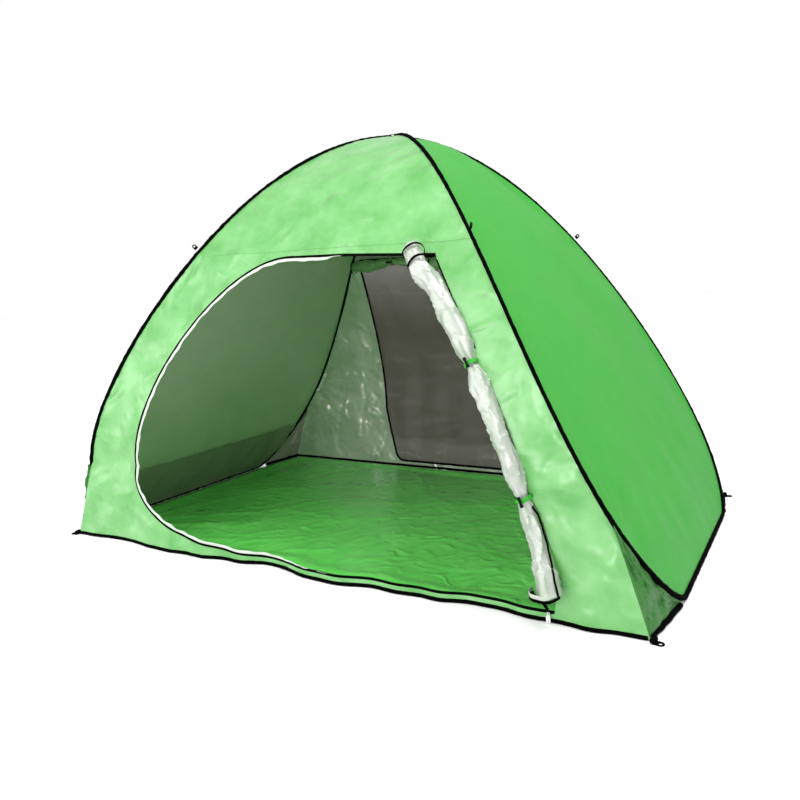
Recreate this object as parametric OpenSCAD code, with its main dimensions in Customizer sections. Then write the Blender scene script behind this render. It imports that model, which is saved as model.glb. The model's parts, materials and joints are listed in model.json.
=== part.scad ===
// Pop up tent: two closed hoops of spring wire, joined at the peak, hold open four fabric walls
// and a sewn-in floor. The door is in front (-Y), the mesh window behind (+Y), +Z is up, and the
// origin is on the ground under the peak.

/* [Overall size] */
// Width of the floor, from corner to corner
floor_width = 2000; // [1900:10:2100]
// Depth of the floor, from corner to corner
floor_depth = 1300; // [1240:10:1360]
// Height of the peak above the ground
peak_height = 1354; // [1320:2:1400]

/* [Hoops] */
// Diameter of the spring wire
wire_d = 5; // [4:0.5:5.5]
// Outside diameter of the sleeve round the wire
sleeve_d = 17; // [16:0.5:18]
// Thickness of the sleeve's wall
sleeve_wall = 2; // [1.5:0.5:2.5]
// How far a hoop's foot stands out past the floor's corners
foot_bulge = 30; // [20:1:40]
// Half the length of the run that lies on the ground
foot_half = 372; // [360:1:380]
// Place along a hoop's edge, from peak to foot, where the corner gusset starts
gusset_start = 0.625; // [0.61:0.005:0.64]

/* [Fabric] */
// Thickness of the fabric walls
cloth = 1.6; // [1.2:0.2:2]
// Height of the seam across the front and rear walls
seam_height = 965; // [955:1:980]
// Height of the tub wall inside each side
tub_height = 185; // [150:5:200]
// Height of the binding round the floor
hem_height = 12; // [10:1:12]
// Width of the binding round the floor
hem_width = 10; // [8:1:12]

/* [Door] */
// Height of the door's straight bottom edge
door_sill = 24; // [22:1:26]
// Height of the door's top edge
door_head = 943; // [930:1:945]
// How far the opening reaches to the left of the middle
door_left = 694; // [670:1:700]
// Right-hand end of the opening's top edge
door_top_right = 391; // [380:1:395]
// Where the door's seam would reach the opening's bottom edge
door_foot_right = 810; // [800:1:812]
// Right-hand end of the opening's bottom edge
door_sill_right = 768; // [764:1:772]
// Radius of the rolled up door
roll_r = 30; // [27:0.5:31]
// Width of the zip's tape
zip_width = 8.5; // [7:0.5:9]

/* [Window] */
// Half the width of the window, at its top
window_half = 485; // [470:1:490]
// Height of the window's top edge
window_head = 955; // [945:1:958]
// Height of the window's bottom edge
window_sill = 24; // [22:1:28]
// Radius of the rolled up window cover
cover_r = 24; // [20:1:26]

/* [Loops] */
// Radius of the eye in each corner loop, for a peg
peg_eye_r = 5; // [4:0.5:6]
// Radius of the eye in each guy tab, for a line
line_eye_r = 3; // [2:0.5:3.5]

/* [Hidden] */
$fn = 48;
half_w = floor_width / 2;
half_d = floor_depth / 2;
sleeve_r = sleeve_d / 2;
tip_gap = 10;
tape_r = sleeve_r + 2.1;
crown = peak_height - tape_r;
foot_x = half_w + foot_bulge;
edge_gap = sleeve_r + 2;
seam_gap = 0.4;
hem_end = foot_half + 62;
steps = 24;

fabric_green = [0.47, 0.85, 0.44];
floor_green = [0.27, 0.62, 0.22];
binding_black = [0.05, 0.05, 0.05];
lining_silver = [0.88, 0.88, 0.86];
mesh_grey = [0.50, 0.48, 0.43];
wire_grey = [0.55, 0.56, 0.58];

// ---- curves ----

// A point on a Bezier curve of any degree.
function bezier(p, t) =
    len(p) == 1 ? p[0] : bezier([for (i = [0:len(p) - 2]) (1 - t) * p[i] + t * p[i + 1]], t);

function bezier_path(p, n, from = 0, to = 1) =
    [for (i = [0:n]) bezier(p, from + (to - from) * i / n)];

function unit(v) = v / norm(v);

function reversed(p) = [for (i = [len(p) - 1:-1:0]) p[i]];

// The direction of a path at its point i.
function heading(p, i) = unit(p[min(i + 1, len(p) - 1)] - p[max(i - 1, 0)]);

function mirrored(p) = [for (q = p) [-q[0], q[1]]];

// A flat path moved sideways, to its left, by d, or by d[i] at point i.
function shifted(p, d) = [
    for (i = [0:len(p) - 1])
        let (h = heading(p, i), s = is_list(d) ? d[i] : d)
        p[i] + s * [-h[1], h[0]]
];

// The outline of a band between two distances to the left of a flat path.
function band(p, a, b) = concat(shifted(p, a), reversed(shifted(p, b)));

// The front right-hand edge of the tent, from the peak down to the ground run of the hoop.
edge_control = [
    [0, 0, crown],
    [0.467 * half_w, -0.765 * half_d, crown - 14],
    [0.797 * half_w, -1.171 * half_d, 0.266 * peak_height],
    [0.933 * half_w, -1.263 * half_d, 0.2347 * peak_height],
    [foot_x, -foot_half - 109, sleeve_r],
    [foot_x, -foot_half, sleeve_r]
];

function edge_at(t) = bezier(edge_control, t);

// A point that lies d inside a wall from the hoop's edge, on the front wall or on the side wall.
function edge_inset(t, d, front) = let (
    h = unit(edge_at(min(t + 0.01, 1)) - edge_at(max(t - 0.01, 0))),
    n = unit(front ? [0, h[2], -h[1]] : [h[2], 0, -h[0]])
) edge_at(t) + d * cross(h, n);

edge_path = bezier_path(edge_control, steps);
upper_edge = bezier_path(edge_control, steps, 0, gusset_start);
gusset_top = edge_at(gusset_start);
gusset_foot = [half_w, -half_d, 0];

// The front wall in side view: down the hoop to the gusset, then straight to the ground.
front_profile = concat([for (p = upper_edge) [p[1], p[2]]], [[-half_d, 0]]);

// A side wall in front view, from the peak to the ground.
side_profile = [for (p = edge_path) [p[0], p[2]]];

// ---- sheets that follow the walls ----

// Above this place on the edge a wall lies back so far that it is cut from above instead.
turn_t = 0.12;
turn_z = min([for (front = [true, false]) edge_inset(turn_t, edge_gap, front)[2]]);
wall_tip = 0.006;
side_tip = 0.012;

// A wall's half outline seen from above, from its tip down past the turn.
function plan_side(tip, front) = [
    for (i = [0:8])
        let (p = edge_inset(tip + (turn_t + 0.02 - tip) * i / 8, edge_gap, front))
        [p[0], p[1]]
];

module below_turn() {
    translate([-half_w - 150, -half_d - 150, -50])
        cube([floor_width + 300, floor_depth + 300, turn_z + 50]);
}

module above_turn(outline) {
    translate([0, 0, turn_z - 1])
        linear_extrude(peak_height)
            polygon(outline);
}

// A wall's layer as a long extrusion, lift millimetres outside the middle of the fabric.
module front_layer(lift, thick) {
    tip = plan_side(wall_tip, true);
    intersection() {
        rotate([90, 0, 90])
            translate([0, 0, -half_w - 100])
                linear_extrude(floor_width + 200)
                    polygon(band(front_profile, -lift - thick / 2, -lift + thick / 2));
        union() {
            below_turn();
            above_turn(concat(tip, reversed(mirrored(tip))));
        }
    }
}

module side_layer(lift, thick) {
    tip = plan_side(side_tip, false);
    intersection() {
        rotate([90, 0, 0])
            translate([0, 0, -half_d - 100])
                linear_extrude(floor_depth + 200)
                    polygon(band(side_profile, lift - thick / 2, lift + thick / 2));
        union() {
            below_turn();
            above_turn(concat(tip, reversed([for (p = tip) [p[0], -p[1]]])));
        }
    }
}

// Cuts a flat outline, drawn in x and z, out of the front wall.
module on_front(lift = 0, thick = cloth) {
    intersection() {
        front_layer(lift, thick);
        rotate([90, 0, 0])
            linear_extrude(half_d + 150)
                children();
    }
}

// Cuts a flat outline, drawn in y and z, out of the right-hand wall.
module on_side(lift = 0, thick = cloth) {
    intersection() {
        side_layer(lift, thick);
        rotate([90, 0, 90])
            linear_extrude(half_w + 150)
                children();
    }
}

module to_left() {
    mirror([1, 0, 0])
        children();
}

module to_rear() {
    mirror([0, 1, 0])
        children();
}

// ---- outlines of the walls ----

wall_foot = hem_height + 0.5;

// The seam between a wall and its gusset starts clear of the hoop's sleeve.
function seam_point(s) =
    [gusset_top[0] + s * (half_w - gusset_top[0]), gusset_top[2] * (1 - s)];

wall_side = concat(
    [[edge_inset(turn_t, edge_gap, true)[0], peak_height]],
    [for (i = [0:steps])
        let (p = edge_inset(turn_t + (gusset_start - turn_t) * i / steps, edge_gap, true))
        [p[0], p[2]]],
    shifted([seam_point(0.13), seam_point(0.5), seam_point(1 - wall_foot / gusset_top[2])], -seam_gap)
);

wall_outline = concat(wall_side, reversed(mirrored(wall_side)));

module wall_above(z) {
    intersection() {
        polygon(wall_outline);
        translate([-half_w - 50, z])
            square([floor_width + 100, peak_height]);
    }
}

module wall_below(z) {
    intersection() {
        polygon(wall_outline);
        translate([-half_w - 50, wall_foot])
            square([floor_width + 100, z - wall_foot]);
    }
}

side_edge = concat(
    [[edge_inset(turn_t, edge_gap, false)[1], peak_height]],
    [for (i = [0:steps])
        let (p = edge_inset(turn_t + (1 - turn_t) * i / steps, edge_gap, false))
        [p[1], p[2]]]
);
side_outline = concat(side_edge, reversed(mirrored(side_edge)));

// The door's opening: a straight sill, a head that falls a little to the right, a long curve
// on the left and a slanted seam on the right.
door_turn = 240;
door_left_edge = concat(
    [[door_top_right + 6, door_head - 17], [100, door_head - 3]],
    bezier_path([
        [-0.15 * door_left, door_head], [-0.62 * door_left, door_head],
        [-door_left, 0.35 * door_head], [-door_left, door_turn]
    ], 16),
    [for (i = [1:12]) bezier([
        [-door_left, door_turn], [-door_left, 95],
        [-0.68 * door_left, door_sill], [-0.16 * door_left, door_sill]
    ], i / 12)],
    [[door_sill_right, door_sill]]
);
door_seam_control = [
    [door_foot_right, door_sill],
    [door_foot_right - 133, 0.58 * door_head],
    [door_top_right + 243, 0.616 * door_head],
    [door_top_right, door_head]
];
door_seam = bezier_path(door_seam_control, 12, 0.08);

module door_opening() {
    polygon(concat(door_left_edge, [for (i = [0:11]) door_seam[i]]));
}

module door_band(from, to) {
    polygon(band(door_left_edge, from, to));
}

// The window's opening, with sides that bow out a little and rounded lower corners.
window_side = concat(
    [[window_half - 20, window_head], [window_half - 6, window_head - 6]],
    bezier_path([
        [window_half, window_head - 20], [window_half + 32, 0.5 * window_head],
        [window_half - 60, window_sill + 45]
    ], 10),
    [for (i = [1:5]) bezier([
        [window_half - 60, window_sill + 45], [window_half - 66, window_sill],
        [window_half - 110, window_sill]
    ], i / 5)]
);
window_edge = concat(window_side, reversed(mirrored(window_side)));

// ---- swept pieces ----

function cross_dir(h, ref) = unit(cross(h, ref));

// A ring of points round p, square to heading h.
function ring(p, h, ref, r, sides, squeeze = 1) = let (
    n1 = cross_dir(h, ref),
    n2 = cross(n1, h)
) [for (k = [0:sides - 1]) p + r * cos(360 * k / sides) * n1 + squeeze * r * sin(360 * k / sides) * n2];

function rings(path, ref, r, sides, squeeze = 1) = [
    for (i = [0:len(path) - 1])
        each ring(path[i], heading(path, i), ref, is_list(r) ? r[i] : r, sides, squeeze)
];

// The triangles between ring i and the next one, from point number first.
function belt(first, n, sides, flip = false) = [
    for (i = [0:n - 2], k = [0:sides - 1])
        let (
            a = first + i * sides + k, b = first + i * sides + (k + 1) % sides,
            c = a + sides, d = b + sides
        )
        each (flip ? [[a, b, d], [a, d, c]] : [[a, d, b], [a, c, d]])
];

// A solid rod along a path, with flat ends.
module rod(path, ref, r, sides, squeeze = 1) {
    n = len(path);
    polyhedron(
        points = rings(path, ref, r, sides, squeeze),
        faces = concat(
            belt(0, n, sides),
            [[for (k = [0:sides - 1]) k]],
            [[for (k = [sides - 1:-1:0]) (n - 1) * sides + k]]
        )
    );
}

// An open tube along a path.
module tube(path, ref, r, wall, sides) {
    n = len(path);
    far = n * sides;
    last = (n - 1) * sides;
    polyhedron(
        points = concat(rings(path, ref, r, sides), rings(path, ref, r - wall, sides)),
        faces = concat(
            belt(0, n, sides),
            belt(far, n, sides, true),
            [for (k = [0:sides - 1]) let (m = (k + 1) % sides) each [
                [k, m, far + m], [k, far + m, far + k],
                [last + m, last + k, far + last + k], [last + m, far + last + k, far + last + m]
            ]]
        )
    );
}

// ---- hoops ----

// Where the hoop rounds the peak, on an arc that meets the edge in line.
tip_turn = atan2(edge_control[1][0], -edge_control[1][1]);
tip_r = tip_gap / (sin(tip_turn) * tan(tip_turn) - 1 + cos(tip_turn));
tip_arc = [
    for (i = [0:3])
        let (a = tip_turn * i / 3)
        [tip_gap + tip_r * (1 - cos(a)), -tip_r * sin(a), crown - 0.2 * i]
];
half_hoop = concat(
    tip_arc,
    bezier_path(edge_control, steps, 0.022, 1),
    [[foot_x, -foot_half / 2, sleeve_r], [foot_x, -0.5, sleeve_r]]
);
hoop_path = concat(
    reversed([for (i = [1:len(half_hoop) - 1]) [half_hoop[i][0], -half_hoop[i][1], half_hoop[i][2]]]),
    half_hoop
);
leaf_facing = [0.8, 0, 0.6];

module sleeve() {
    color(binding_black)
        tube(hoop_path, leaf_facing, sleeve_r, sleeve_wall, 10);
}

module wire() {
    color(wire_grey)
        rod(hoop_path, leaf_facing, wire_d / 2, 8);
}

module ferrule() {
    color(wire_grey)
        translate([foot_x, 30, sleeve_r])
            rotate([90, 0, 0])
                difference() {
                    cylinder(h = 60, r = wire_d / 2 + 1.2);
                    translate([0, 0, -1])
                        cylinder(h = 62, r = wire_d / 2 + 0.05);
                }
}

module right_sleeve() { sleeve(); }
module left_sleeve() { to_left() sleeve(); }
module right_wire() { wire(); }
module left_wire() { to_left() wire(); }
module right_ferrule() { ferrule(); }
module left_ferrule() { to_left() ferrule(); }

// Tape wound round both hoops where they lie side by side at the peak.
module tape_turn(r) {
    square([2 * tip_gap + 1.2, 2 * r], center = true);
    for (side = [-1, 1])
        translate([side * (tip_gap + 0.6), 0])
            circle(r);
}

module apex_tape() {
    color(binding_black)
        translate([0, 5, crown])
            rotate([90, 0, 0])
                linear_extrude(10)
                    difference() {
                        tape_turn(tape_r);
                        tape_turn(tape_r - 1.1);
                    }
}

// ---- side walls ----

module side_panel() {
    color(fabric_green)
        on_side()
            polygon(side_outline);
}

module tub_wall() {
    color(floor_green)
        on_side(lift = -6)
            intersection() {
                polygon(side_outline);
                translate([-half_d, 22])
                    square([floor_depth, tub_height - 22]);
            }
}

module right_panel() { side_panel(); }
module left_panel() { to_left() side_panel(); }
module right_tub_wall() { tub_wall(); }
module left_tub_wall() { to_left() tub_wall(); }

// A gusset fills the corner between a wall's seam, the hoop's lower edge and the ground.
gusset_rows = 9;
gusset_columns = 4;
gusset_end = 0.925;

function gusset_seam(u) = gusset_top + u * (gusset_foot - gusset_top);

function gusset_point(i, k) = let (
    u = 0.17 + (1 - wall_foot / gusset_top[2] - 0.17) * i / gusset_rows,
    s = gusset_seam(u),
    e = edge_at(gusset_start + (gusset_end - gusset_start) * u),
    d = unit(e - s),
    near = s + 0.9 * d,
    h = unit(edge_at(min(gusset_start + (gusset_end - gusset_start) * u + 0.01, 1)) - e),
    far = e - (edge_gap + 2) / norm(cross(d, h)) * d
) near + (far - near) * k / gusset_columns;

module gusset() {
    wide = gusset_columns + 1;
    count = (gusset_rows + 1) * wide;
    out = cloth / 2 * unit(cross(
        gusset_foot - gusset_top,
        edge_at(0.85) - gusset_seam(0.8)
    ));
    color(fabric_green)
        polyhedron(
            points = [
                for (side = [1, -1], i = [0:gusset_rows], k = [0:gusset_columns])
                    gusset_point(i, k) + side * out
            ],
            faces = concat(
                [for (i = [0:gusset_rows - 1], k = [0:gusset_columns - 1])
                    let (a = i * wide + k)
                    each [
                        [a, a + wide, a + wide + 1], [a, a + wide + 1, a + 1],
                        [count + a, count + a + wide + 1, count + a + wide],
                        [count + a, count + a + 1, count + a + wide + 1]
                    ]],
                [for (i = [0:gusset_rows - 1])
                    let (a = i * wide, b = a + gusset_columns)
                    each [
                        [a, count + a, count + a + wide], [a, count + a + wide, a + wide],
                        [b, b + wide, count + b + wide], [b, count + b + wide, count + b]
                    ]],
                [for (k = [0:gusset_columns - 1])
                    let (a = k, b = gusset_rows * wide + k)
                    each [
                        [a, a + 1, count + a + 1], [a, count + a + 1, count + a],
                        [b, count + b + 1, b + 1], [b, count + b, count + b + 1]
                    ]]
            )
        );
}

module right_front_gusset() { gusset(); }
module right_rear_gusset() { to_rear() gusset(); }
module left_front_gusset() { to_left() gusset(); }
module left_rear_gusset() { to_left() to_rear() gusset(); }

// ---- floor and its binding ----

// The inner side of the binding, from a front corner to the hoop's foot.
floor_corner = [half_w - hem_width / 2 - 0.5, half_d - hem_width / 2 - 0.5];
floor_foot = [foot_x - hem_width / 2 - 0.5 - sleeve_r, hem_end];

module ground_sheet() {
    color(floor_green)
        linear_extrude(2)
            polygon([
                [floor_corner[0], -floor_corner[1]], [floor_foot[0], -floor_foot[1]],
                floor_foot, floor_corner,
                [-floor_corner[0], floor_corner[1]], [-floor_foot[0], floor_foot[1]],
                [-floor_foot[0], -floor_foot[1]], [-floor_corner[0], -floor_corner[1]]
            ]);
}

module front_hem() {
    color(binding_black)
        translate([-half_w, -half_d - hem_width / 2, 0])
            cube([floor_width, hem_width, hem_height]);
}

module rear_hem() { to_rear() front_hem(); }

// The binding from a corner to the hoop's foot, at the front and at the rear.
module side_hem() {
    start = [half_w, half_d - hem_width / 2 - 0.5];
    end = [foot_x - 2, hem_end];
    color(binding_black)
        for (way = [-1, 1])
            linear_extrude(hem_height)
                polygon([
                    [start[0] - hem_width / 2, way * start[1]], [start[0] + hem_width / 2, way * start[1]],
                    [end[0] + hem_width / 2, way * end[1]], [end[0] - hem_width / 2, way * end[1]]
                ]);
}

module right_hem() { side_hem(); }
module left_hem() { to_left() side_hem(); }

// ---- front wall and door ----

module front_upper_panel() {
    color(fabric_green)
        on_front()
            wall_above(seam_height + 0.3);
}

module front_lower_panel() {
    color(fabric_green)
        on_front()
            difference() {
                wall_below(seam_height - 0.3);
                door_opening();
            }
}

module door_zip() {
    color(binding_black)
        on_front(thick = 3)
            door_band(0.5, zip_width);
}

module door_facing() {
    color(lining_silver)
        on_front()
            intersection() {
                door_band(zip_width + 0.5, zip_width + 10);
                translate([-half_w, 0])
                    square([half_w + 100, peak_height]);
            }
}

// The middle of the rolled up door, which hangs beside its seam and is pinched by two ties.
roll_foot = 0.045;
lower_tie_at = 0.24;
upper_tie_at = 0.665;
roll_head = 0.985;

function wall_y(z, p = front_profile, i = 0) =
    i >= len(p) - 2 || p[i + 1][1] <= z
        ? p[i][0] + (p[i + 1][0] - p[i][0]) * (p[i][1] - z) / (p[i][1] - p[i + 1][1])
        : wall_y(z, p, i + 1);

function roll_size(u) =
    roll_r * (1 - 0.5 * exp(-pow((u - upper_tie_at) / 0.035, 2)) - 0.36 * exp(-pow((u - lower_tie_at) / 0.035, 2)));

function roll_point(u) = let (
    p = bezier(door_seam_control, u),
    h = unit(bezier(door_seam_control, u + 0.01) - p),
    out = 6 + 34 * exp(-pow((u - 1) / 0.075, 2)) + 27 * exp(-pow((u - roll_foot) / 0.05, 2)),
    q = p + (roll_r + 4) * [-h[1], h[0]]
) [q[0], wall_y(q[1]) - out, q[1]];

roll_steps = 30;
roll_at = [for (i = [0:roll_steps]) roll_foot + (roll_head - roll_foot) * i / roll_steps];
roll_path = [for (u = roll_at) roll_point(u)];

// Puts a child, drawn round the z axis, at place u along the roll.
module at_roll(u) {
    p = roll_point(u);
    h = unit(roll_point(u + 0.01) - p);
    translate(p)
        rotate([0, acos(h[2]), atan2(h[1], h[0])])
            children();
}

module door_roll() {
    color(lining_silver)
        rod(roll_path, [0, 1, 0], [for (u = roll_at) roll_size(u)], 12);
}

module ring_band(inner, outer, width) {
    translate([0, 0, -width / 2])
        difference() {
            cylinder(h = width, r = outer);
            translate([0, 0, -1])
                cylinder(h = width + 2, r = inner);
        }
}

module door_upper_tie() {
    color(fabric_green)
        at_roll(upper_tie_at)
            ring_band(roll_r * 0.5 + 3.5, roll_r * 0.5 + 5, 12);
}

module door_lower_tie() {
    color(fabric_green)
        at_roll(lower_tie_at)
            ring_band(roll_r * 0.64 + 3.5, roll_r * 0.64 + 5, 12);
}

module toggle() {
    color(binding_black)
        difference() {
            cylinder(h = 28, r = 4.5, center = true);
            rotate([90, 0, 0])
                cylinder(h = 12, r = 1.5, center = true);
        }
}

module door_upper_toggle() {
    at_roll(upper_tie_at)
        translate([0, -roll_r * 0.5 - 10.5, 0])
            toggle();
}

module door_lower_toggle() {
    at_roll(lower_tie_at)
        translate([0, -roll_r * 0.64 - 10.5, 0])
            toggle();
}

// The door's own half of the zip shows as turns round the top end of the roll.
module door_end_tape() {
    color(binding_black)
        for (u = [0.955, 0.975])
            at_roll(u)
                ring_band(roll_r + 1.5, roll_r + 3.5, 5);
}

// Below the roll the door's edge runs down to the slider.
slider_x = 756;

module door_zip_tail() {
    low = roll_point(roll_foot);
    color(binding_black)
        rod(
            bezier_path([
                [low[0] - 28, low[1] - 6, low[2] - 14],
                [low[0] - 12, low[1] - 8, low[2] - 22],
                [slider_x - 4, -half_d - 7, door_sill + 13]
            ], 8),
            [0, 1, 0], 4, 8
        );
}

zip_mid = door_sill + zip_width / 2;

module zip_slider() {
    y = wall_y(zip_mid);
    color(binding_black)
        translate([slider_x, y - 2.3, zip_mid])
            rotate([90, 0, 0])
                difference() {
                    union() {
                        linear_extrude(3)
                            polygon([[-8, -4.5], [8, -3], [8, 3], [-8, 4.5]]);
                        translate([-2, 0, 3])
                            cylinder(h = 3, r = 3);
                    }
                    translate([-6, 0, 4.6])
                        rotate([0, 90, 0])
                            cylinder(h = 8, r = 0.8);
                }
}

module zip_pull() {
    y = wall_y(zip_mid);
    color(lining_silver)
        translate([slider_x - 2, y - 6.9, zip_mid])
            difference() {
                union() {
                    rotate([0, 90, 0])
                        translate([0, 0, -3.3])
                            cylinder(h = 6.6, r = 0.75);
                    for (side = [-1, 1])
                        translate([side * 4.2, 0, 0])
                            rotate([0, 90, 0])
                                cylinder(h = 2.2, r = 1.6, center = true);
                    for (side = [-1, 1])
                        translate([side * 4.2 - 1.1, -1.6, -10])
                            cube([2.2, 1.8, 10]);
                    translate([-5.3, -1.6, -26])
                        cube([10.6, 1.8, 19]);
                }
                translate([0, 3, -22])
                    rotate([90, 0, 0])
                        cylinder(h = 8, r = 1.8);
            }
}

// ---- rear wall and window ----

module rear_upper_panel() {
    color(fabric_green)
        to_rear()
            on_front()
                wall_above(seam_height + 0.3);
}

module rear_lower_panel() {
    color(fabric_green)
        to_rear()
            on_front()
                difference() {
                    wall_below(seam_height - 0.3);
                    polygon(window_edge);
                }
}

module window_binding() {
    color(binding_black)
        to_rear()
            on_front(thick = 3)
                difference() {
                    polygon(shifted(window_edge, -0.5));
                    polygon(shifted(window_edge, -9));
                }
}

module window_mesh() {
    color(mesh_grey)
        to_rear()
            on_front()
                polygon(shifted(window_edge, -9.5));
}

// The window's cover is rolled up inside, under the window's head, and held by two ties.
cover_tie_x = 296;
cover_half = window_half + 8;

function cover_size(x) =
    cover_r * (1 - 0.5 * exp(-pow((abs(x) - cover_tie_x) / 45, 2)) + 0.12 * exp(-pow((abs(x) - 430) / 60, 2)));

function cover_point(x) = let (
    z = window_head - 18 - 16 * (1 - exp(-pow((abs(x) - cover_tie_x) / 110, 2)))
) [x, -wall_y(z) - 36, z];

cover_steps = 32;
cover_at = [for (i = [0:cover_steps]) cover_half * (2 * i / cover_steps - 1)];

module window_cover() {
    color(floor_green)
        rod([for (x = cover_at) cover_point(x)], [0, 0, 1], [for (x = cover_at) cover_size(x)], 10);
}

module cover_tie() {
    color(floor_green)
        translate(cover_point(cover_tie_x))
            rotate([0, 90, 0])
                ring_band(cover_r * 0.5 + 3, cover_r * 0.5 + 4.5, 10);
}

module cover_toggle() {
    p = cover_point(cover_tie_x);
    translate([p[0], p[1] - cover_r * 0.5 - 9.5, p[2] - 2])
        rotate([0, 90, 90])
            rotate([90, 0, 0])
                toggle();
}

module window_right_tie() { cover_tie(); }
module window_left_tie() { to_left() cover_tie(); }
module window_right_toggle() { cover_toggle(); }
module window_left_toggle() { to_left() cover_toggle(); }

// ---- loops for pegs and guy lines ----

loop_turn = 12;

module peg_loop() {
    color(binding_black)
        translate([half_w + 2, -half_d - 3, 0])
            rotate([0, 0, -loop_turn])
                difference() {
                    union() {
                        translate([8, 11, 3])
                            rotate([90, 0, 0])
                                cylinder(h = 22, r = 3);
                        translate([8, -11, 0])
                            cube([12, 22, 3]);
                        translate([20, 0, 0])
                            cylinder(h = 3, r = 11);
                    }
                    translate([21, 0, -1])
                        cylinder(h = 6, r = peg_eye_r);
                }
}

module front_right_peg_loop() { peg_loop(); }
module front_left_peg_loop() { to_left() peg_loop(); }
module rear_right_peg_loop() { to_rear() peg_loop(); }
module rear_left_peg_loop() { to_left() to_rear() peg_loop(); }

// A guy tab turns on a line beside the hoop and stands away from the walls.
tab_at = 0.245;
tab_p = edge_at(tab_at);
tab_h = unit(edge_at(tab_at + 0.01) - edge_at(tab_at - 0.01));
tab_reach = [0.7, -0.7, 0.1];
tab_out = unit(tab_reach - (tab_reach * tab_h) * tab_h);
tab_side = cross(tab_h, tab_out);
tab_pivot = tab_p + (sleeve_r + 3.4) * tab_out;

module guy_tab() {
    color(binding_black)
        multmatrix([
            [tab_out[0], tab_side[0], tab_h[0], tab_pivot[0]],
            [tab_out[1], tab_side[1], tab_h[1], tab_pivot[1]],
            [tab_out[2], tab_side[2], tab_h[2], tab_pivot[2]]
        ])
            difference() {
                union() {
                    cylinder(h = 14, r = 2.5, center = true);
                    translate([0, -1.25, -7])
                        cube([11, 2.5, 14]);
                    translate([11, 1.25, 0])
                        rotate([90, 0, 0])
                            cylinder(h = 2.5, r = 7);
                }
                translate([11, 5, 0])
                    rotate([90, 0, 0])
                        cylinder(h = 10, r = line_eye_r);
            }
}

module front_right_guy_tab() { guy_tab(); }
module front_left_guy_tab() { to_left() guy_tab(); }
module rear_right_guy_tab() { to_rear() guy_tab(); }
module rear_left_guy_tab() { to_left() to_rear() guy_tab(); }

ground_sheet();
front_hem();
rear_hem();
right_hem();
left_hem();
right_panel();
right_sleeve();
right_wire();
right_ferrule();
right_tub_wall();
right_front_gusset();
right_rear_gusset();
left_panel();
left_sleeve();
left_wire();
left_ferrule();
left_tub_wall();
left_front_gusset();
left_rear_gusset();
apex_tape();
front_upper_panel();
front_lower_panel();
door_zip();
door_facing();
rear_upper_panel();
rear_lower_panel();
window_mesh();
window_binding();
door_roll();
door_zip_tail();
door_end_tape();
door_upper_tie();
door_lower_tie();
door_upper_toggle();
door_lower_toggle();
zip_slider();
zip_pull();
window_cover();
window_left_tie();
window_right_tie();
window_left_toggle();
window_right_toggle();
front_right_peg_loop();
front_left_peg_loop();
rear_right_peg_loop();
rear_left_peg_loop();
front_right_guy_tab();
front_left_guy_tab();
rear_right_guy_tab();
rear_left_guy_tab();
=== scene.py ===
"""The looks of the pop up tent: sewn fabric, bindings, zip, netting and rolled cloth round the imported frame."""

import json
import math

import bpy
import numpy as np
from mathutils import Matrix, Vector
from mathutils.geometry import delaunay_2d_cdt


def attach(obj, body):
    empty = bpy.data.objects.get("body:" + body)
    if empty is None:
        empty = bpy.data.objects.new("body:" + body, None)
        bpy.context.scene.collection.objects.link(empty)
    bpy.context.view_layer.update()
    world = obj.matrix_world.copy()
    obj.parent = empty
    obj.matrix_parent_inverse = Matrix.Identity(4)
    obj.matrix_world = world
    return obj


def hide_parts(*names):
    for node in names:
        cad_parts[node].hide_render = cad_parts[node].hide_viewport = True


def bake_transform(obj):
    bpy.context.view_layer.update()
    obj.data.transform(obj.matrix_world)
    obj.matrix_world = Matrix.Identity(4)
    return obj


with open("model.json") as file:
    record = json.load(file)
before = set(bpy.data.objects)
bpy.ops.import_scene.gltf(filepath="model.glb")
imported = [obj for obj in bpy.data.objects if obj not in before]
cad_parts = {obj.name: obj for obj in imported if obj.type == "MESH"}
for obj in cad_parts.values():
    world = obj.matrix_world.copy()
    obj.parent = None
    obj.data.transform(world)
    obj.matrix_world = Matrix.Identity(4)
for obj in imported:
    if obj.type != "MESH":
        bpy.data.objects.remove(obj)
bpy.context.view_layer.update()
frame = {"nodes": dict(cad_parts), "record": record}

# ---- sizes, in metres, as in the CAD source ----

HALF_W, HALF_D, PEAK = 1.0, 0.65, 1.354
CROWN = PEAK - 0.0106
SLEEVE_R = 0.0085
FOOT_X = HALF_W + 0.03
FOOT_HALF = 0.372
GUSSET_T = 0.625
SEAM_Z = 0.965
DOOR_SILL, DOOR_HEAD = 0.024, 0.943
DOOR_LEFT, DOOR_TOP, DOOR_FOOT, SILL_END = 0.694, 0.391, 0.810, 0.768
ROLL_R, UPPER_TIE, LOWER_TIE = 0.030, 0.665, 0.24
ROLL_LOW, ROLL_HIGH = 0.045, 1.02
WINDOW_HALF, WINDOW_HEAD, WINDOW_SILL = 0.485, 0.955, 0.024
COVER_R, COVER_TIE_X = 0.024, 0.296
ZIP_W = 0.0085
SLIDER_X = 0.756

EDGE = np.array([
    [0, 0, CROWN],
    [0.467 * HALF_W, -0.765 * HALF_D, CROWN - 0.014],
    [0.797 * HALF_W, -1.171 * HALF_D, 0.266 * PEAK],
    [0.933 * HALF_W, -1.263 * HALF_D, 0.2347 * PEAK],
    [FOOT_X, -FOOT_HALF - 0.109, SLEEVE_R],
    [FOOT_X, -FOOT_HALF, SLEEVE_R],
])
DOOR_SEAM = np.array([
    [DOOR_FOOT, DOOR_SILL],
    [DOOR_FOOT - 0.133, 0.58 * DOOR_HEAD],
    [DOOR_TOP + 0.243, 0.616 * DOOR_HEAD],
    [DOOR_TOP, DOOR_HEAD],
])


# ---- curves and noise ----

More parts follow.
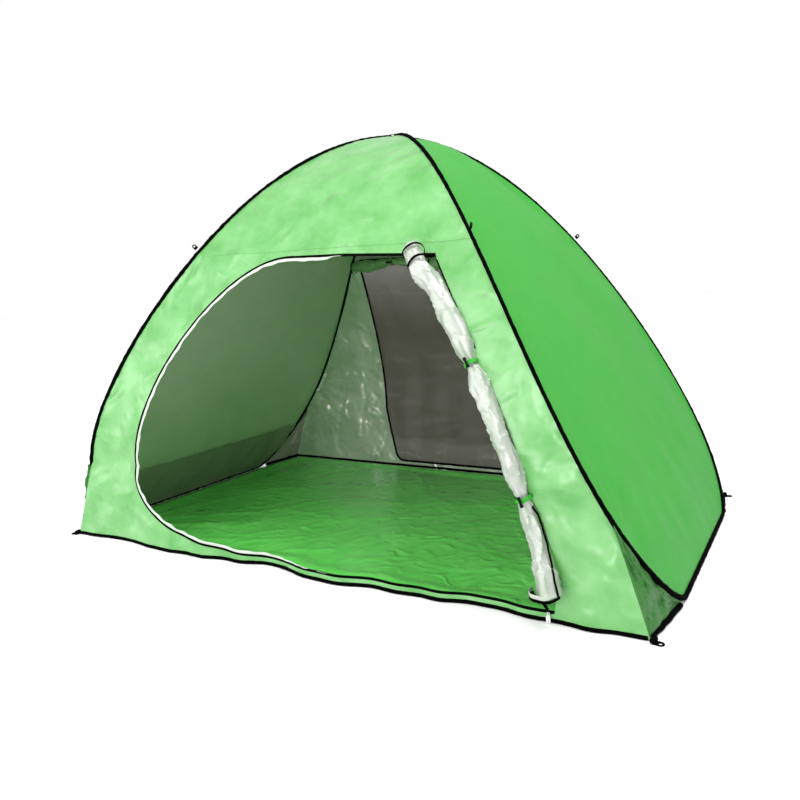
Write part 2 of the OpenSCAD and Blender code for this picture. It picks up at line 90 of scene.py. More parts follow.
def bezier(control, t):
    """Points on a Bezier curve of any degree."""
    control = np.asarray(control, float)
    t = np.atleast_1d(np.asarray(t, float))[:, None]
    n = len(control) - 1
    return sum(math.comb(n, k) * (1 - t) ** (n - k) * t ** k * control[k] for k in range(n + 1))


def smooth(low, high, x):
    t = np.clip((np.asarray(x, float) - low) / (high - low), 0, 1)
    return t * t * (3 - 2 * t)


def lengths(path):
    """The length run along a path, at each of its points."""
    steps = np.linalg.norm(np.diff(path, axis=0), axis=1)
    return np.concatenate([[0], np.cumsum(steps)])


def headings(path):
    """The unit direction of a path at each of its points."""
    h = np.gradient(path, axis=0)
    return h / np.maximum(np.linalg.norm(h, axis=1, keepdims=True), 1e-12)


def even(path, step):
    """The same path with its points about one step apart."""
    run = lengths(path)
    at = np.linspace(0, run[-1], max(2, int(round(run[-1] / step)) + 1))
    return np.stack([np.interp(at, run, path[:, k]) for k in range(path.shape[1])], axis=1)


def shifted(path, d):
    """A flat path moved to its left by d."""
    h = headings(path)
    return path + np.reshape(d, (-1, 1)) * np.stack([-h[:, 1], h[:, 0]], axis=1)


def swell(coords, size, seed, count=18):
    """Smooth noise of about -1 to 1 with features of one size, in any number of dimensions."""
    rng = np.random.default_rng(seed)
    coords = np.asarray(coords, float)
    way = rng.normal(size=(count, coords.shape[-1]))
    way /= np.linalg.norm(way, axis=1, keepdims=True)
    way *= (2 * math.pi / size * rng.uniform(0.6, 1.5, count))[:, None]
    phase = rng.uniform(0, 2 * math.pi, count)
    return np.sin(coords @ way.T + phase).sum(axis=-1) / math.sqrt(count / 1.6)


def crease(coords, size, seed, sharp=3.0):
    """Thin ridges of 0 to 1 that wander like the fold lines of packed cloth."""
    return np.exp(-sharp * np.abs(swell(coords, size, seed)) * 2.2)


def fans(coords, fan_list):
    """Folds that run out from anchor points: each is (a, b, from, to, count, reach, height, seed)."""
    total = np.zeros(len(coords))
    for a, b, low, high, count, reach, height, seed in fan_list:
        rng = np.random.default_rng(seed)
        d = coords - np.array([a, b])
        r = np.hypot(d[:, 0], d[:, 1]) + 1e-6
        angle = np.degrees(np.arctan2(d[:, 1], d[:, 0]))
        for k in range(count):
            at = low + (high - low) * (k + 0.5 + rng.uniform(-0.3, 0.3)) / count
            bent = at + 14 * rng.uniform(-1, 1) * r / reach
            across = np.radians((angle - bent + 180) % 360 - 180) * r
            far = reach * rng.uniform(0.55, 1.0)
            width = 0.006 + 0.05 * r * rng.uniform(0.6, 1.3)
            along = smooth(0, 0.15 * far, r) * (1 - smooth(0.35 * far, far, r))
            total += height * rng.uniform(0.5, 1.0) * along * np.exp(-(across / width) ** 2)
    return total


# ---- walls that curve one way only ----

class Wall:
    """Flat coordinates are a, level across the wall, and s, down along its profile from the peak."""

    def __init__(self, profile, halves, side, across_x):
        self.p = np.asarray(profile, float)
        self.half = np.asarray(halves, float)
        self.s = lengths(self.p)
        tangent = headings(self.p)
        self.out = np.stack([-tangent[:, 1], tangent[:, 0]], axis=1)
        self.side = side
        self.across_x = across_x
        self.sway = lambda a, z: 0.0

    def s_of(self, z):
        return np.interp(-np.asarray(z, float), -self.p[:, 1], self.s)

    def z_of(self, s):
        return np.interp(s, self.s, self.p[:, 1])

    def at(self, flat, lift=0.0):
        a, s = flat[:, 0], flat[:, 1]
        o = np.interp(s, self.s, self.p[:, 0]) + lift * np.interp(s, self.s, self.out[:, 0])
        z = np.interp(s, self.s, self.p[:, 1]) + lift * np.interp(s, self.s, self.out[:, 1])
        o = self.side * (o + self.sway(a, z))
        return np.stack([a, o, z] if self.across_x else [o, a, z], axis=1)

    def on(self, a, z):
        """Flat coordinates of outline points given by their a and height."""
        return np.stack([np.asarray(a, float), self.s_of(z)], axis=1)

    def edge(self, inset, steps=160):
        """The wall's right-hand outline, moved in by inset, in flat coordinates."""
        path = even(np.stack([self.half, self.s], axis=1), self.s[-1] / steps)
        return shifted(path, inset)


upper_t = np.linspace(0, GUSSET_T, 300)
edge_upper = bezier(EDGE, upper_t)
front_profile = np.vstack([np.stack([-edge_upper[:, 1], edge_upper[:, 2]], axis=1), [[HALF_D, 0]]])
front_halves = np.concatenate([edge_upper[:, 0], [HALF_W]])
edge_all = bezier(EDGE, np.linspace(0, 1, 400))
side_profile = edge_all[:, [0, 2]]
side_halves = -edge_all[:, 1]

front = Wall(front_profile, front_halves, -1, True)
rear = Wall(front_profile, front_halves, 1, True)
right = Wall(side_profile, side_halves, 1, False)
left = Wall(side_profile, side_halves, -1, False)


def front_sway(a, z):
    """The foot of the front wall wanders a little between its corners, but not at the zip's slider."""
    wander = 0.010 * swell(np.reshape(a, (-1, 1)), 0.50, 35) + 0.0035 * swell(np.reshape(a, (-1, 1)), 0.16, 36)
    free = (1 - smooth(0.82, 0.97, np.abs(a))) * (1 - np.exp(-((np.asarray(a) - SLIDER_X) / 0.10) ** 2))
    return wander * free * (1 - smooth(0.0, 0.20, z))


front.sway = front_sway


def wall_loop(wall, inset, z_high, z_low):
    """The outline of a front or rear panel between two heights."""
    side = wall.edge(inset)
    side = side[side[:, 0] > 0.004]
    s0, s1 = wall.s_of(z_high), wall.s_of(z_low)
    s0 = max(s0, side[0, 1])
    s = np.linspace(s0, s1, max(8, int((s1 - s0) / 0.012)))
    x = np.interp(s, side[:, 1], side[:, 0])
    seam = smooth(wall.s[-2], wall.s[-2] + 0.05, s)
    x = x * (1 - seam) + np.interp(s, wall.s, wall.half) * seam
    right_part = np.stack([x, s], axis=1)
    return np.vstack([right_part, right_part[::-1] * [-1, 1]])


def leaf_loop(wall, inset):
    """The outline of a side wall, from near the peak to the hoop's foot."""
    t = np.linspace(0.014, 1, 170)
    points = bezier(EDGE, t)
    run = np.interp(points[:, 2], -wall.p[::-1, 1] * -1, wall.s[::-1])
    path = np.stack([-points[:, 1], run], axis=1)
    path = shifted(path, inset)
    return np.vstack([path, path[::-1] * [-1, 1]])


def door_outline():
    """The door's opening in x and z: along the head, down the left, along the sill and up the seam."""
    turn = 0.24
    head = [[DOOR_TOP + 0.006, DOOR_HEAD - 0.017], [0.10, DOOR_HEAD - 0.003]]
    shoulder = bezier([
        [-0.15 * DOOR_LEFT, DOOR_HEAD], [-0.62 * DOOR_LEFT, DOOR_HEAD],
        [-DOOR_LEFT, 0.35 * DOOR_HEAD], [-DOOR_LEFT, turn],
    ], np.linspace(0, 1, 60))
    corner = bezier([
        [-DOOR_LEFT, turn], [-DOOR_LEFT, 0.095],
        [-0.68 * DOOR_LEFT, DOOR_SILL], [-0.16 * DOOR_LEFT, DOOR_SILL],
    ], np.linspace(0, 1, 40)[1:])
    return np.vstack([head, shoulder, corner, [[SILL_END, DOOR_SILL]]])


def roll_size(u):
    pinch = 0.52 * np.exp(-((u - UPPER_TIE) / 0.04) ** 2) + 0.38 * np.exp(-((u - LOWER_TIE) / 0.04) ** 2)
    flare = 0.22 * np.exp(-((u - ROLL_LOW) / 0.05) ** 2) - 0.08 * np.exp(-((u - 0.45) / 0.1) ** 2)
    return ROLL_R * (0.98 - pinch + flare)


def window_outline():
    """The window's opening in x and z, with sides that bow a little and rounded lower corners."""
    side = np.vstack([
        [[WINDOW_HALF - 0.020, WINDOW_HEAD], [WINDOW_HALF - 0.006, WINDOW_HEAD - 0.006]],
        bezier([
            [WINDOW_HALF, WINDOW_HEAD - 0.020], [WINDOW_HALF + 0.032, 0.5 * WINDOW_HEAD],
            [WINDOW_HALF - 0.060, WINDOW_SILL + 0.045],
        ], np.linspace(0, 1, 40)),
        bezier([
            [WINDOW_HALF - 0.060, WINDOW_SILL + 0.045], [WINDOW_HALF - 0.066, WINDOW_SILL],
            [WINDOW_HALF - 0.110, WINDOW_SILL],
        ], np.linspace(0, 1, 10)[1:]),
    ])
    return np.vstack([side, side[::-1] * [-1, 1]])


# ---- meshes ----

def add_object(name, verts, faces, materials, indices=None, uvs=None, smooth_faces=True):
    mesh = bpy.data.meshes.new(name)
    mesh.from_pydata(np.asarray(verts, float).tolist(), [], faces)
    for m in materials:
        mesh.materials.append(m)
    if indices is not None:
        mesh.polygons.foreach_set("material_index", np.asarray(indices, np.int32))
    if uvs is not None:
        layer = mesh.uv_layers.new(name="UVMap")
        corner = np.zeros(len(mesh.loops), np.int32)
        mesh.loops.foreach_get("vertex_index", corner)
        layer.data.foreach_set("uv", np.asarray(uvs, np.float32)[corner].ravel())
    if smooth_faces:
        mesh.shade_smooth()
        mesh.set_sharp_from_angle(angle=math.radians(50))
    mesh.validate()
    mesh.update()
    obj = bpy.data.objects.new(name, mesh)
    bpy.context.scene.collection.objects.link(obj)
    return obj


def inside(points, loop):
    """Whether each flat point lies inside a closed loop."""
    x, y = points[:, 0][:, None], points[:, 1][:, None]
    x0, y0 = loop[:, 0], loop[:, 1]
    x1, y1 = np.roll(x0, -1), np.roll(y0, -1)
    rise = np.where(np.abs(y1 - y0) < 1e-12, 1e-12, y1 - y0)
    hit = ((y0 > y) != (y1 > y)) & (x < (x1 - x0) * (y - y0) / rise + x0)
    return hit.sum(axis=1) % 2 == 1


def refined(loop, step):
    """A closed loop with extra points so that no side is longer than step."""
    points = []
    for a, b in zip(loop, np.roll(loop, -1, axis=0)):
        n = max(1, int(math.ceil(np.linalg.norm(b - a) / step)))
        points.extend(a + (b - a) * k / n for k in range(n))
    return np.array(points)


def distance_to(points, path):
    """The distance from each flat point to a path's nearest point, and that point's number."""
    best = np.full(len(points), 1e9)
    which = np.zeros(len(points), int)
    for start in range(0, len(points), 4000):
        block = points[start:start + 4000]
        d = np.linalg.norm(block[:, None, :] - path[None, :, :], axis=2)
        which[start:start + 4000] = d.argmin(axis=1)
        best[start:start + 4000] = d.min(axis=1)
    return best, which


def flat_cut(outer, holes, cell):
    """Triangles that fill a flat outline with holes: points, triangles and area."""
    loops = [refined(np.asarray(loop, float), cell) for loop in [outer, *holes]]
    border = np.vstack(loops)
    low, high = border.min(axis=0), border.max(axis=0)
    rows = np.arange(low[1] + cell / 2, high[1], cell * 0.866)
    grid = []
    for k, b in enumerate(rows):
        a = np.arange(low[0] + (0.5 if k % 2 else 0.0) * cell, high[0], cell)
        grid.append(np.stack([a, np.full(len(a), b)], axis=1))
    grid = np.vstack(grid)
    keep = inside(grid, loops[0])
    for hole in loops[1:]:
        keep &= ~inside(grid, hole)
    grid = grid[keep]
    grid = grid[distance_to(grid, border)[0] > 0.6 * cell]
    edges = []
    first = 0
    for loop in loops:
        n = len(loop)
        edges += [(first + k, first + (k + 1) % n) for k in range(n)]
        first += n
    every = [Vector(p) for p in np.vstack([border, grid])]
    points, _, triangles, _, _, _ = delaunay_2d_cdt(every, edges, [], 0, 1e-7)
    points = np.array([tuple(p) for p in points])
    triangles = np.array([tuple(t) for t in triangles if len(t) == 3])
    centre = points[triangles].mean(axis=1)
    keep = inside(centre, loops[0])
    for hole in loops[1:]:
        keep &= ~inside(centre, hole)
    triangles = triangles[keep]
    a, b, c = (points[triangles[:, k]] for k in range(3))
    twice = (b[:, 0] - a[:, 0]) * (c[:, 1] - a[:, 1]) - (b[:, 1] - a[:, 1]) * (c[:, 0] - a[:, 0])
    triangles[twice < 0] = triangles[twice < 0][:, ::-1]
    return points, triangles, float(np.abs(twice).sum() / 2)


def shell(name, outer_points, inner_points, triangles, uvs, materials):
    """A thin closed sheet from two layers of the same triangles. Material 0 is outside, 1 inside."""
    n = len(outer_points)
    a, b, c = (outer_points[triangles[:, k]] for k in range(3))
    normals = np.cross(b - a, c - a)
    if (normals * (outer_points - inner_points)[triangles[:, 0]]).sum() < 0:
        triangles = triangles[:, ::-1]
    pairs = np.concatenate([triangles[:, [0, 1]], triangles[:, [1, 2]], triangles[:, [2, 0]]])
    keys = pairs[:, 0].astype(np.int64) * n + pairs[:, 1]
    lone = pairs[~np.isin(pairs[:, 1].astype(np.int64) * n + pairs[:, 0], keys)]
    rim = np.stack([lone[:, 1], lone[:, 0], lone[:, 0] + n, lone[:, 1] + n], axis=1)
    faces = triangles.tolist() + (triangles[:, ::-1] + n).tolist() + rim.tolist()
    indices = [0] * len(triangles) + [1] * len(triangles) + [0] * len(rim)
    if len(materials) == 1:
        indices = [0] * len(faces)
    return add_object(name, np.vstack([outer_points, inner_points]), faces, materials, indices,
                      np.vstack([uvs, uvs]))


def wall_sheet(name, wall, outer, holes, lift, materials, cell=0.012, thick=0.0008, offset=0.0):
    """A sheet of cloth on a wall. lift gives its folds, in metres, at flat points."""
    points, triangles, area = flat_cut(outer, holes, cell)
    height = lift(points) + offset
    out = wall.at(points, height + thick / 2)
    into = wall.at(points, height - thick / 2)
    obj = shell(name, out, into, triangles, points, materials)
    size = points.max(axis=0) - points.min(axis=0)
    obj["flat_w"], obj["flat_l"], obj["flat_area"] = float(size[0]), float(size[1]), area
    return obj


def grid_faces(rows, columns, wrap=False):
    k = np.arange(rows * columns).reshape(rows, columns)
    nxt = np.roll(k, -1, axis=1)
    if not wrap:
        k, nxt, down, across = k[:-1, :-1], k[:-1, 1:], k[1:, :-1], k[1:, 1:]
    else:
        down, across = k[1:], nxt[1:]
        k, nxt = k[:-1], nxt[:-1]
    return np.stack([k, nxt, across, down], axis=-1).reshape(-1, 4)


def grid_shell(name, grid, thick, materials, uvs, way):
    """A thin sheet through a grid of points, rows by columns by 3, whose outer face looks along way."""
    rows, columns = grid.shape[:2]
    du, dv = np.gradient(grid, axis=0), np.gradient(grid, axis=1)
    normal = np.cross(du, dv)
    normal /= np.maximum(np.linalg.norm(normal, axis=2, keepdims=True), 1e-12)
    flat = grid.reshape(-1, 3)
    normal = normal.reshape(-1, 3)
    if (normal * np.asarray(way).reshape(-1, 3)).sum() < 0:
        normal = -normal
    quads = grid_faces(rows, columns)
    triangles = np.vstack([quads[:, [0, 1, 2]], quads[:, [0, 2, 3]]])
    return shell(name, flat + normal * thick / 2, flat - normal * thick / 2, triangles,
                 uvs.reshape(-1, 2), materials)


def tube(name, path, first, second, material, sides=12, close=False, caps=True):
    """A solid swept along a path: first and second are the two half-width vectors at each point,
    or arrays of them for every side."""
    n = len(path)
    angle = np.linspace(0, 2 * math.pi, sides, endpoint=False)
    ring = path[:, None, :] + np.cos(angle)[None, :, None] * first + np.sin(angle)[None, :, None] * second
    verts = ring.reshape(-1, 3)
    if close:
        verts = np.vstack([verts, verts[:sides]])
    quads = grid_faces(len(verts) // sides, sides, wrap=True)
    if close:
        quads = np.where(quads >= n * sides, quads - n * sides, quads)
        verts = verts[:n * sides]
    faces = quads[:, ::-1].tolist()
    if caps and not close:
        faces.append(list(range(sides)))
        faces.append(list(range(len(verts) - 1, len(verts) - sides - 1, -1)))
    run = np.repeat(lengths(path), sides)
    uvs = np.stack([np.tile(angle / (2 * math.pi), n) * 0.05, run], axis=1)
    obj = add_object(name, verts, faces, [material], uvs=uvs)
    face_outwards(obj)
    return obj


def face_outwards(obj):
    """Turns a closed mesh so that its volume counts as positive."""
    mesh = obj.data
    co = np.zeros(len(mesh.vertices) * 3)
    mesh.vertices.foreach_get("co", co)
    co = co.reshape(-1, 3)
    co = co - co.mean(axis=0)
    total = 0.0
    for p in mesh.polygons:
        v = p.vertices
        for k in range(1, len(v) - 1):
            total += np.dot(co[v[0]], np.cross(co[v[k]], co[v[k + 1]]))
    if total < 0:
        mesh.flip_normals()


def frames(path, ref):
    """Two unit vectors square to a path, the first square to ref as well."""
    h = headings(path)
    first = np.cross(h, np.broadcast_to(np.asarray(ref, float), h.shape))
    first /= np.maximum(np.linalg.norm(first, axis=1, keepdims=True), 1e-9)
    return first, np.cross(first, h)


def round_tube(name, path, ref, radius, material, sides=12, close=False, ripple=0.0, seed=1):
    """A round tube whose skin puckers by ripple, a share of its radius."""
    first, second = frames(path, ref)
    n = len(path)
    radius = np.broadcast_to(np.asarray(radius, float), (n,))
    angle = np.linspace(0, 2 * math.pi, sides, endpoint=False)
    size = radius[:, None] * np.ones((n, sides))
    if ripple:
        around = path[:, None, :] + radius[:, None, None] * (
            np.cos(angle)[None, :, None] * first[:, None] + np.sin(angle)[None, :, None] * second[:, None])
        size = size * (1 - ripple * (0.5 + 0.5 * swell(around, 0.022, seed)))
    return tube(name, path, first[:, None] * size[..., None], second[:, None] * size[..., None],
                material, sides, close)


def flat_band(name, path, out, width, thick, material, sides=10, ripple=0.0, seed=1):
    """A flat tape along a path. out is the direction of its thickness at each point."""
    h = headings(path)
    out = out / np.maximum(np.linalg.norm(out, axis=1, keepdims=True), 1e-9)
    across = np.cross(h, out)
    across /= np.maximum(np.linalg.norm(across, axis=1, keepdims=True), 1e-9)
    wave = ripple * swell(path, 0.03, seed)[:, None]
    return tube(name, path + wave * out, (across * width / 2)[:, None, :] * np.ones((1, sides, 1)),
                (out * thick / 2)[:, None, :] * np.ones((1, sides, 1)), material, sides)


def lathe(name, profile, place, material, sides=32):
    """A turned solid. profile is (radius, height) from one end to the other."""
    profile = np.asarray(profile, float)
    angle = np.linspace(0, 2 * math.pi, sides, endpoint=False)
    r, z = profile[:, 0][:, None], profile[:, 1][:, None]
    ring = np.stack([r * np.cos(angle), r * np.sin(angle), z * np.ones(sides)], axis=-1)
    verts = ring.reshape(-1, 3)
    quads = grid_faces(len(profile), sides, wrap=True)
    faces = quads.tolist()
    faces.append(list(range(sides))[::-1])
    faces.append(list(range(len(verts) - sides, len(verts))))
    obj = add_object(name, verts, faces, [material])
    face_outwards(obj)
    obj.data.transform(place)
    return obj


def place_along(origin, z_way, x_way=(0, -1, 0)):
    """A matrix that puts a piece's z axis along z_way at origin."""
    z = Vector(z_way).normalized()
    x = Vector(x_way) - Vector(x_way).dot(z) * z
    if x.length < 1e-6:
        x = z.orthogonal()
    x.normalize()
    y = z.cross(x)
    m = Matrix((x, y, z)).transposed().to_4x4()
    m.translation = Vector(origin)
    return m


def plate(name, outer, holes, thick, place, material, cell=0.004, bevel=0.0004, bend=None):
    """A flat plate with holes and softened edges, moved to its place."""
    points, triangles, _ = flat_cut(np.asarray(outer, float), [np.asarray(h, float) for h in holes], cell)
    z = np.zeros(len(points)) if bend is None else bend(points)
    top = np.column_stack([points, z + thick / 2])
    low = np.column_stack([points, z - thick / 2])
    obj = shell(name, top, low, triangles, points, [material])
    soften = obj.modifiers.new("soften", "BEVEL")
    soften.width = bevel
    soften.segments = 2
    soften.limit_method = "ANGLE"
    apply_modifiers(obj)
    obj.data.transform(place)
    return obj


def apply_modifiers(obj):
    depsgraph = bpy.context.evaluated_depsgraph_get()
    mesh = bpy.data.meshes.new_from_object(obj.evaluated_get(depsgraph))
    old = obj.data
    obj.modifiers.clear()
    obj.data = mesh
    bpy.data.meshes.remove(old)
    mesh.name = obj.name


def circle(x, y, r, n=24):
    a = np.linspace(0, 2 * math.pi, n, endpoint=False)
    return np.stack([x + r * np.cos(a), y + r * np.sin(a)], axis=1)


# ---- materials ----

def node_tree(name):
    mat = bpy.data.materials.new(name)
    mat.use_nodes = True
    mat.node_tree.nodes.clear()
    return mat, mat.node_tree


def noise_map(tree, vector, scale, detail=4.0, rough=0.55, distortion=0.0, kind=None):
    node = tree.nodes.new("ShaderNodeTexNoise")
    if kind:
        node.noise_type = kind
    node.inputs["Scale"].default_value = scale
    node.inputs["Detail"].default_value = detail
    node.inputs["Roughness"].default_value = rough
    node.inputs["Distortion"].default_value = distortion
    tree.links.new(vector, node.inputs["Vector"])
    return node


def bump_on(tree, height, strength, distance, below=None):
    node = tree.nodes.new("ShaderNodeBump")
    node.inputs["Strength"].default_value = strength
    node.inputs["Distance"].default_value = distance
    tree.links.new(height, node.inputs["Height"])
    if below is not None:
        tree.links.new(below, node.inputs["Normal"])
    return node.outputs["Normal"]


def tinted(tree, vector, color, shade, scale, second=None):
    """A colour that varies gently over the cloth, towards a darker shade or a second colour."""
    spots = noise_map(tree, vector, scale, 3.0)
    ramp = tree.nodes.new("ShaderNodeValToRGB")
    ramp.color_ramp.elements[0].position = 0.3
    ramp.color_ramp.elements[1].position = 0.7
    dark = second or tuple(c * shade for c in color)
    ramp.color_ramp.elements[0].color = (*dark, 1)
    ramp.color_ramp.elements[1].color = (*color, 1)
    tree.links.new(spots.outputs["Fac"], ramp.inputs["Fac"])
    return ramp.outputs["Color"]


def weave_height(tree, vector, period):
    """The crossing threads of a plain weave."""
    outs = []
    for way in ("X", "Y"):
        wave = tree.nodes.new("ShaderNodeTexWave")
        wave.bands_direction = way
        wave.inputs["Scale"].default_value = 0.314 / period
        tree.links.new(vector, wave.inputs["Vector"])
        outs.append(wave.outputs["Fac"])
    both = tree.nodes.new("ShaderNodeMath")
    both.operation = "MULTIPLY"
    tree.links.new(outs[0], both.inputs[0])
    tree.links.new(outs[1], both.inputs[1])
    return both.outputs[0]


def cloth(name, color, through=0.3, rough=0.45, sheen=0.3, crumple=0.25, crumple_scale=22.0,
          coat=0.0, metal=0.0, weave=0.0014, specular=0.5, shade=0.9, through_color=None, second=None,
          depth=0.004):
    """Coated cloth: woven, a little crumpled, and letting some light through."""
    mat, tree = node_tree(name)
    uv = tree.nodes.new("ShaderNodeTexCoord").outputs["UV"]
    skin = tree.nodes.new("ShaderNodeBsdfPrincipled")
    tint = tinted(tree, uv, color, shade, 9.0, second)
    tree.links.new(tint, skin.inputs["Base Color"])
    skin.inputs["Roughness"].default_value = rough
    skin.inputs["Specular IOR Level"].default_value = specular
    skin.inputs["Sheen Weight"].default_value = sheen
    skin.inputs["Sheen Roughness"].default_value = 0.4
    skin.inputs["Coat Weight"].default_value = coat
    skin.inputs["Coat Roughness"].default_value = 0.25
    skin.inputs["Metallic"].default_value = metal
    folds = noise_map(tree, uv, crumple_scale, 5.0, 0.5, 0.6, "RIDGED_MULTIFRACTAL")
    normal = bump_on(tree, folds.outputs["Fac"], crumple, depth)
    normal = bump_on(tree, weave_height(tree, uv, weave), 0.25, 0.0002, normal)
    tree.links.new(normal, skin.inputs["Normal"])
    result = skin.outputs["BSDF"]
    if through:
        glow = tree.nodes.new("ShaderNodeBsdfTranslucent")
        if through_color:
            glow.inputs["Color"].default_value = (*through_color, 1)
        else:
            tree.links.new(tint, glow.inputs["Color"])
        tree.links.new(normal, glow.inputs["Normal"])
        mix = tree.nodes.new("ShaderNodeMixShader")
        mix.inputs["Fac"].default_value = through
        tree.links.new(result, mix.inputs[1])
        tree.links.new(glow.outputs["BSDF"], mix.inputs[2])
        result = mix.outputs["Shader"]
    end = tree.nodes.new("ShaderNodeOutputMaterial")
    tree.links.new(result, end.inputs["Surface"])
    mat.diffuse_color = (*color, 1)
    return mat


def plain(name, color, rough, metal=0.0, scale=400.0, strength=0.1, specular=0.5):
    """Moulded plastic or drawn metal with a fine surface."""
    mat, tree = node_tree(name)
    where = tree.nodes.new("ShaderNodeTexCoord").outputs["Object"]
    skin = tree.nodes.new("ShaderNodeBsdfPrincipled")
    tree.links.new(tinted(tree, where, color, 0.85, 60.0), skin.inputs["Base Color"])
    skin.inputs["Roughness"].default_value = rough
    skin.inputs["Metallic"].default_value = metal
    skin.inputs["Specular IOR Level"].default_value = specular
    grain = noise_map(tree, where, scale, 3.0)
    tree.links.new(bump_on(tree, grain.outputs["Fac"], strength, 0.0004), skin.inputs["Normal"])
    end = tree.nodes.new("ShaderNodeOutputMaterial")
    tree.links.new(skin.outputs["BSDF"], end.inputs["Surface"])
    mat.diffuse_color = (*color, 1)
    return mat


def netting(name, color, cover, span):
    """Fine window net: dark threads with open cells between them, and soft hanging folds."""
    mat, tree = node_tree(name)
    uv = tree.nodes.new("ShaderNodeTexCoord").outputs["UV"]
    thread = tree.nodes.new("ShaderNodeBsdfPrincipled")
    tree.links.new(tinted(tree, uv, color, 0.7, 6.0), thread.inputs["Base Color"])
    thread.inputs["Roughness"].default_value = 0.6
    thread.inputs["Sheen Weight"].default_value = 0.3
    glow = tree.nodes.new("ShaderNodeBsdfTranslucent")
    glow.inputs["Color"].default_value = (*[min(1, 2.2 * c) for c in color], 1)
    lit = tree.nodes.new("ShaderNodeMixShader")
    lit.inputs["Fac"].default_value = 0.35
    tree.links.new(thread.outputs["BSDF"], lit.inputs[1])
    tree.links.new(glow.outputs["BSDF"], lit.inputs[2])
    clear = tree.nodes.new("ShaderNodeBsdfTransparent")
    slant = tree.nodes.new("ShaderNodeMapping")
    slant.inputs["Rotation"].default_value = (0, 0, 0.6)
    slant.inputs["Scale"].default_value = (1.0, 5.0, 1.0)
    tree.links.new(uv, slant.inputs["Vector"])
    folds = noise_map(tree, slant.outputs["Vector"], 5.0, 5.0, 0.6, 0.5, "RIDGED_MULTIFRACTAL")
    crumple = tree.nodes.new("ShaderNodeMath")
    crumple.operation = "MULTIPLY"
    crumple.inputs[1].default_value = -0.12
    tree.links.new(folds.outputs["Fac"], crumple.inputs[0])
    down = tree.nodes.new("ShaderNodeSeparateXYZ")
    tree.links.new(uv, down.inputs["Vector"])
    run = tree.nodes.new("ShaderNodeMapRange")
    run.inputs["From Min"].default_value = span[0]
    run.inputs["From Max"].default_value = span[1]
    tree.links.new(down.outputs["Y"], run.inputs["Value"])
    shade = tree.nodes.new("ShaderNodeValToRGB")
    bar = shade.color_ramp
    for place, value in ((0.40, cover), (0.88, cover - 0.01), (0.91, cover - 0.08)):
        bar.elements.new(place).color = (value, value, value, 1)
    bar.elements[0].color = (cover - 0.28, cover - 0.28, cover - 0.28, 1)
    bar.elements[-1].color = (cover - 0.08, cover - 0.08, cover - 0.08, 1)
    tree.links.new(run.outputs["Result"], shade.inputs["Fac"])
    level = tree.nodes.new("ShaderNodeMath")
    level.operation = "ADD"
    level.use_clamp = True
    tree.links.new(shade.outputs["Color"], level.inputs[0])
    tree.links.new(crumple.outputs["Value"], level.inputs[1])
    mix = tree.nodes.new("ShaderNodeMixShader")
    tree.links.new(level.outputs["Value"], mix.inputs["Fac"])
    tree.links.new(clear.outputs["BSDF"], mix.inputs[1])
    tree.links.new(lit.outputs["Shader"], mix.inputs[2])
    end = tree.nodes.new("ShaderNodeOutputMaterial")
    tree.links.new(mix.outputs["Shader"], end.inputs["Surface"])
    mat.diffuse_color = (*color, 1)
    return mat


GREEN = cloth("green_fabric", (0.045, 0.42, 0.038), through=0.30, rough=0.48, sheen=0.0, crumple=0.2,
              crumple_scale=14.0, coat=0.0, specular=0.28, shade=0.94)
# front_fabric_painted_sheen is a paler, greyer copy of the wall green. The pale base is painted sheen for the front
# wall's white highlights, and its darker second colour makes patches of painted crease shade.
FRONT_PAINTED_SHEEN = cloth("front_fabric_painted_sheen", (0.21, 0.54, 0.185), through=0.28, rough=0.34, sheen=0.1, crumple=1.2,
              crumple_scale=12.0, coat=0.4, specular=0.8, second=(0.10, 0.40, 0.08), depth=0.012)
# gusset_fabric_painted_shade is a darker, greyer copy of the wall green: painted shade for the corner gussets.
GUSSET_PAINTED_SHADE = cloth("gusset_fabric_painted_shade", (0.034, 0.165, 0.027), through=0.12, rough=0.5, sheen=0.0, crumple=0.35,
               specular=0.35, depth=0.012)
LINING = cloth("silver_lining", (0.74, 0.64, 0.64), through=0.42, rough=0.36, sheen=0.0, crumple=0.4,
               metal=0.15, crumple_scale=13.0, through_color=(0.70, 0.70, 0.62))
# silver_rear_painted_light is a brighter copy of the silver lining, with more metal and a lighter glow: painted
# light and painted glints for the lit inside of the rear wall.
REAR_LINING_PAINTED_LIGHT = cloth("silver_rear_painted_light", (0.95, 0.84, 0.88), through=0.42, rough=0.24, sheen=0.0, crumple=1.0,
                    metal=0.30, crumple_scale=15.0, through_color=(0.75, 0.72, 0.68),
                    second=(0.62, 0.60, 0.56), depth=0.010)
FLOOR = cloth("floor_fabric", (0.15, 0.72, 0.12), through=0.0, rough=0.26, sheen=0.0, crumple=0.9,
              coat=0.6, crumple_scale=19.0, specular=0.8, second=(0.10, 0.62, 0.08), depth=0.008)
TUB = cloth("tub_fabric", (0.34, 0.44, 0.28), through=0.35, rough=0.36, sheen=0.0, crumple=0.5, coat=0.2)
SILVER = cloth("silver_roll", (0.42, 0.43, 0.41), through=0.0, rough=0.34, sheen=0.0, crumple=0.6,
               metal=0.2, crumple_scale=8.0, second=(0.30, 0.36, 0.28), depth=0.012)
FACING = cloth("door_facing", (0.50, 0.56, 0.48), through=0.1, rough=0.4, sheen=0.1, crumple=0.3)
COVER = cloth("cover_fabric", (0.13, 0.30, 0.10), through=0.05, rough=0.4, sheen=0.1, crumple=0.45)
BLACK = cloth("black_binding", (0.0010, 0.0010, 0.0010), through=0.0, rough=0.9, sheen=0.0, crumple=0.3,
              crumple_scale=60.0, coat=0.0, weave=0.001, specular=0.02)
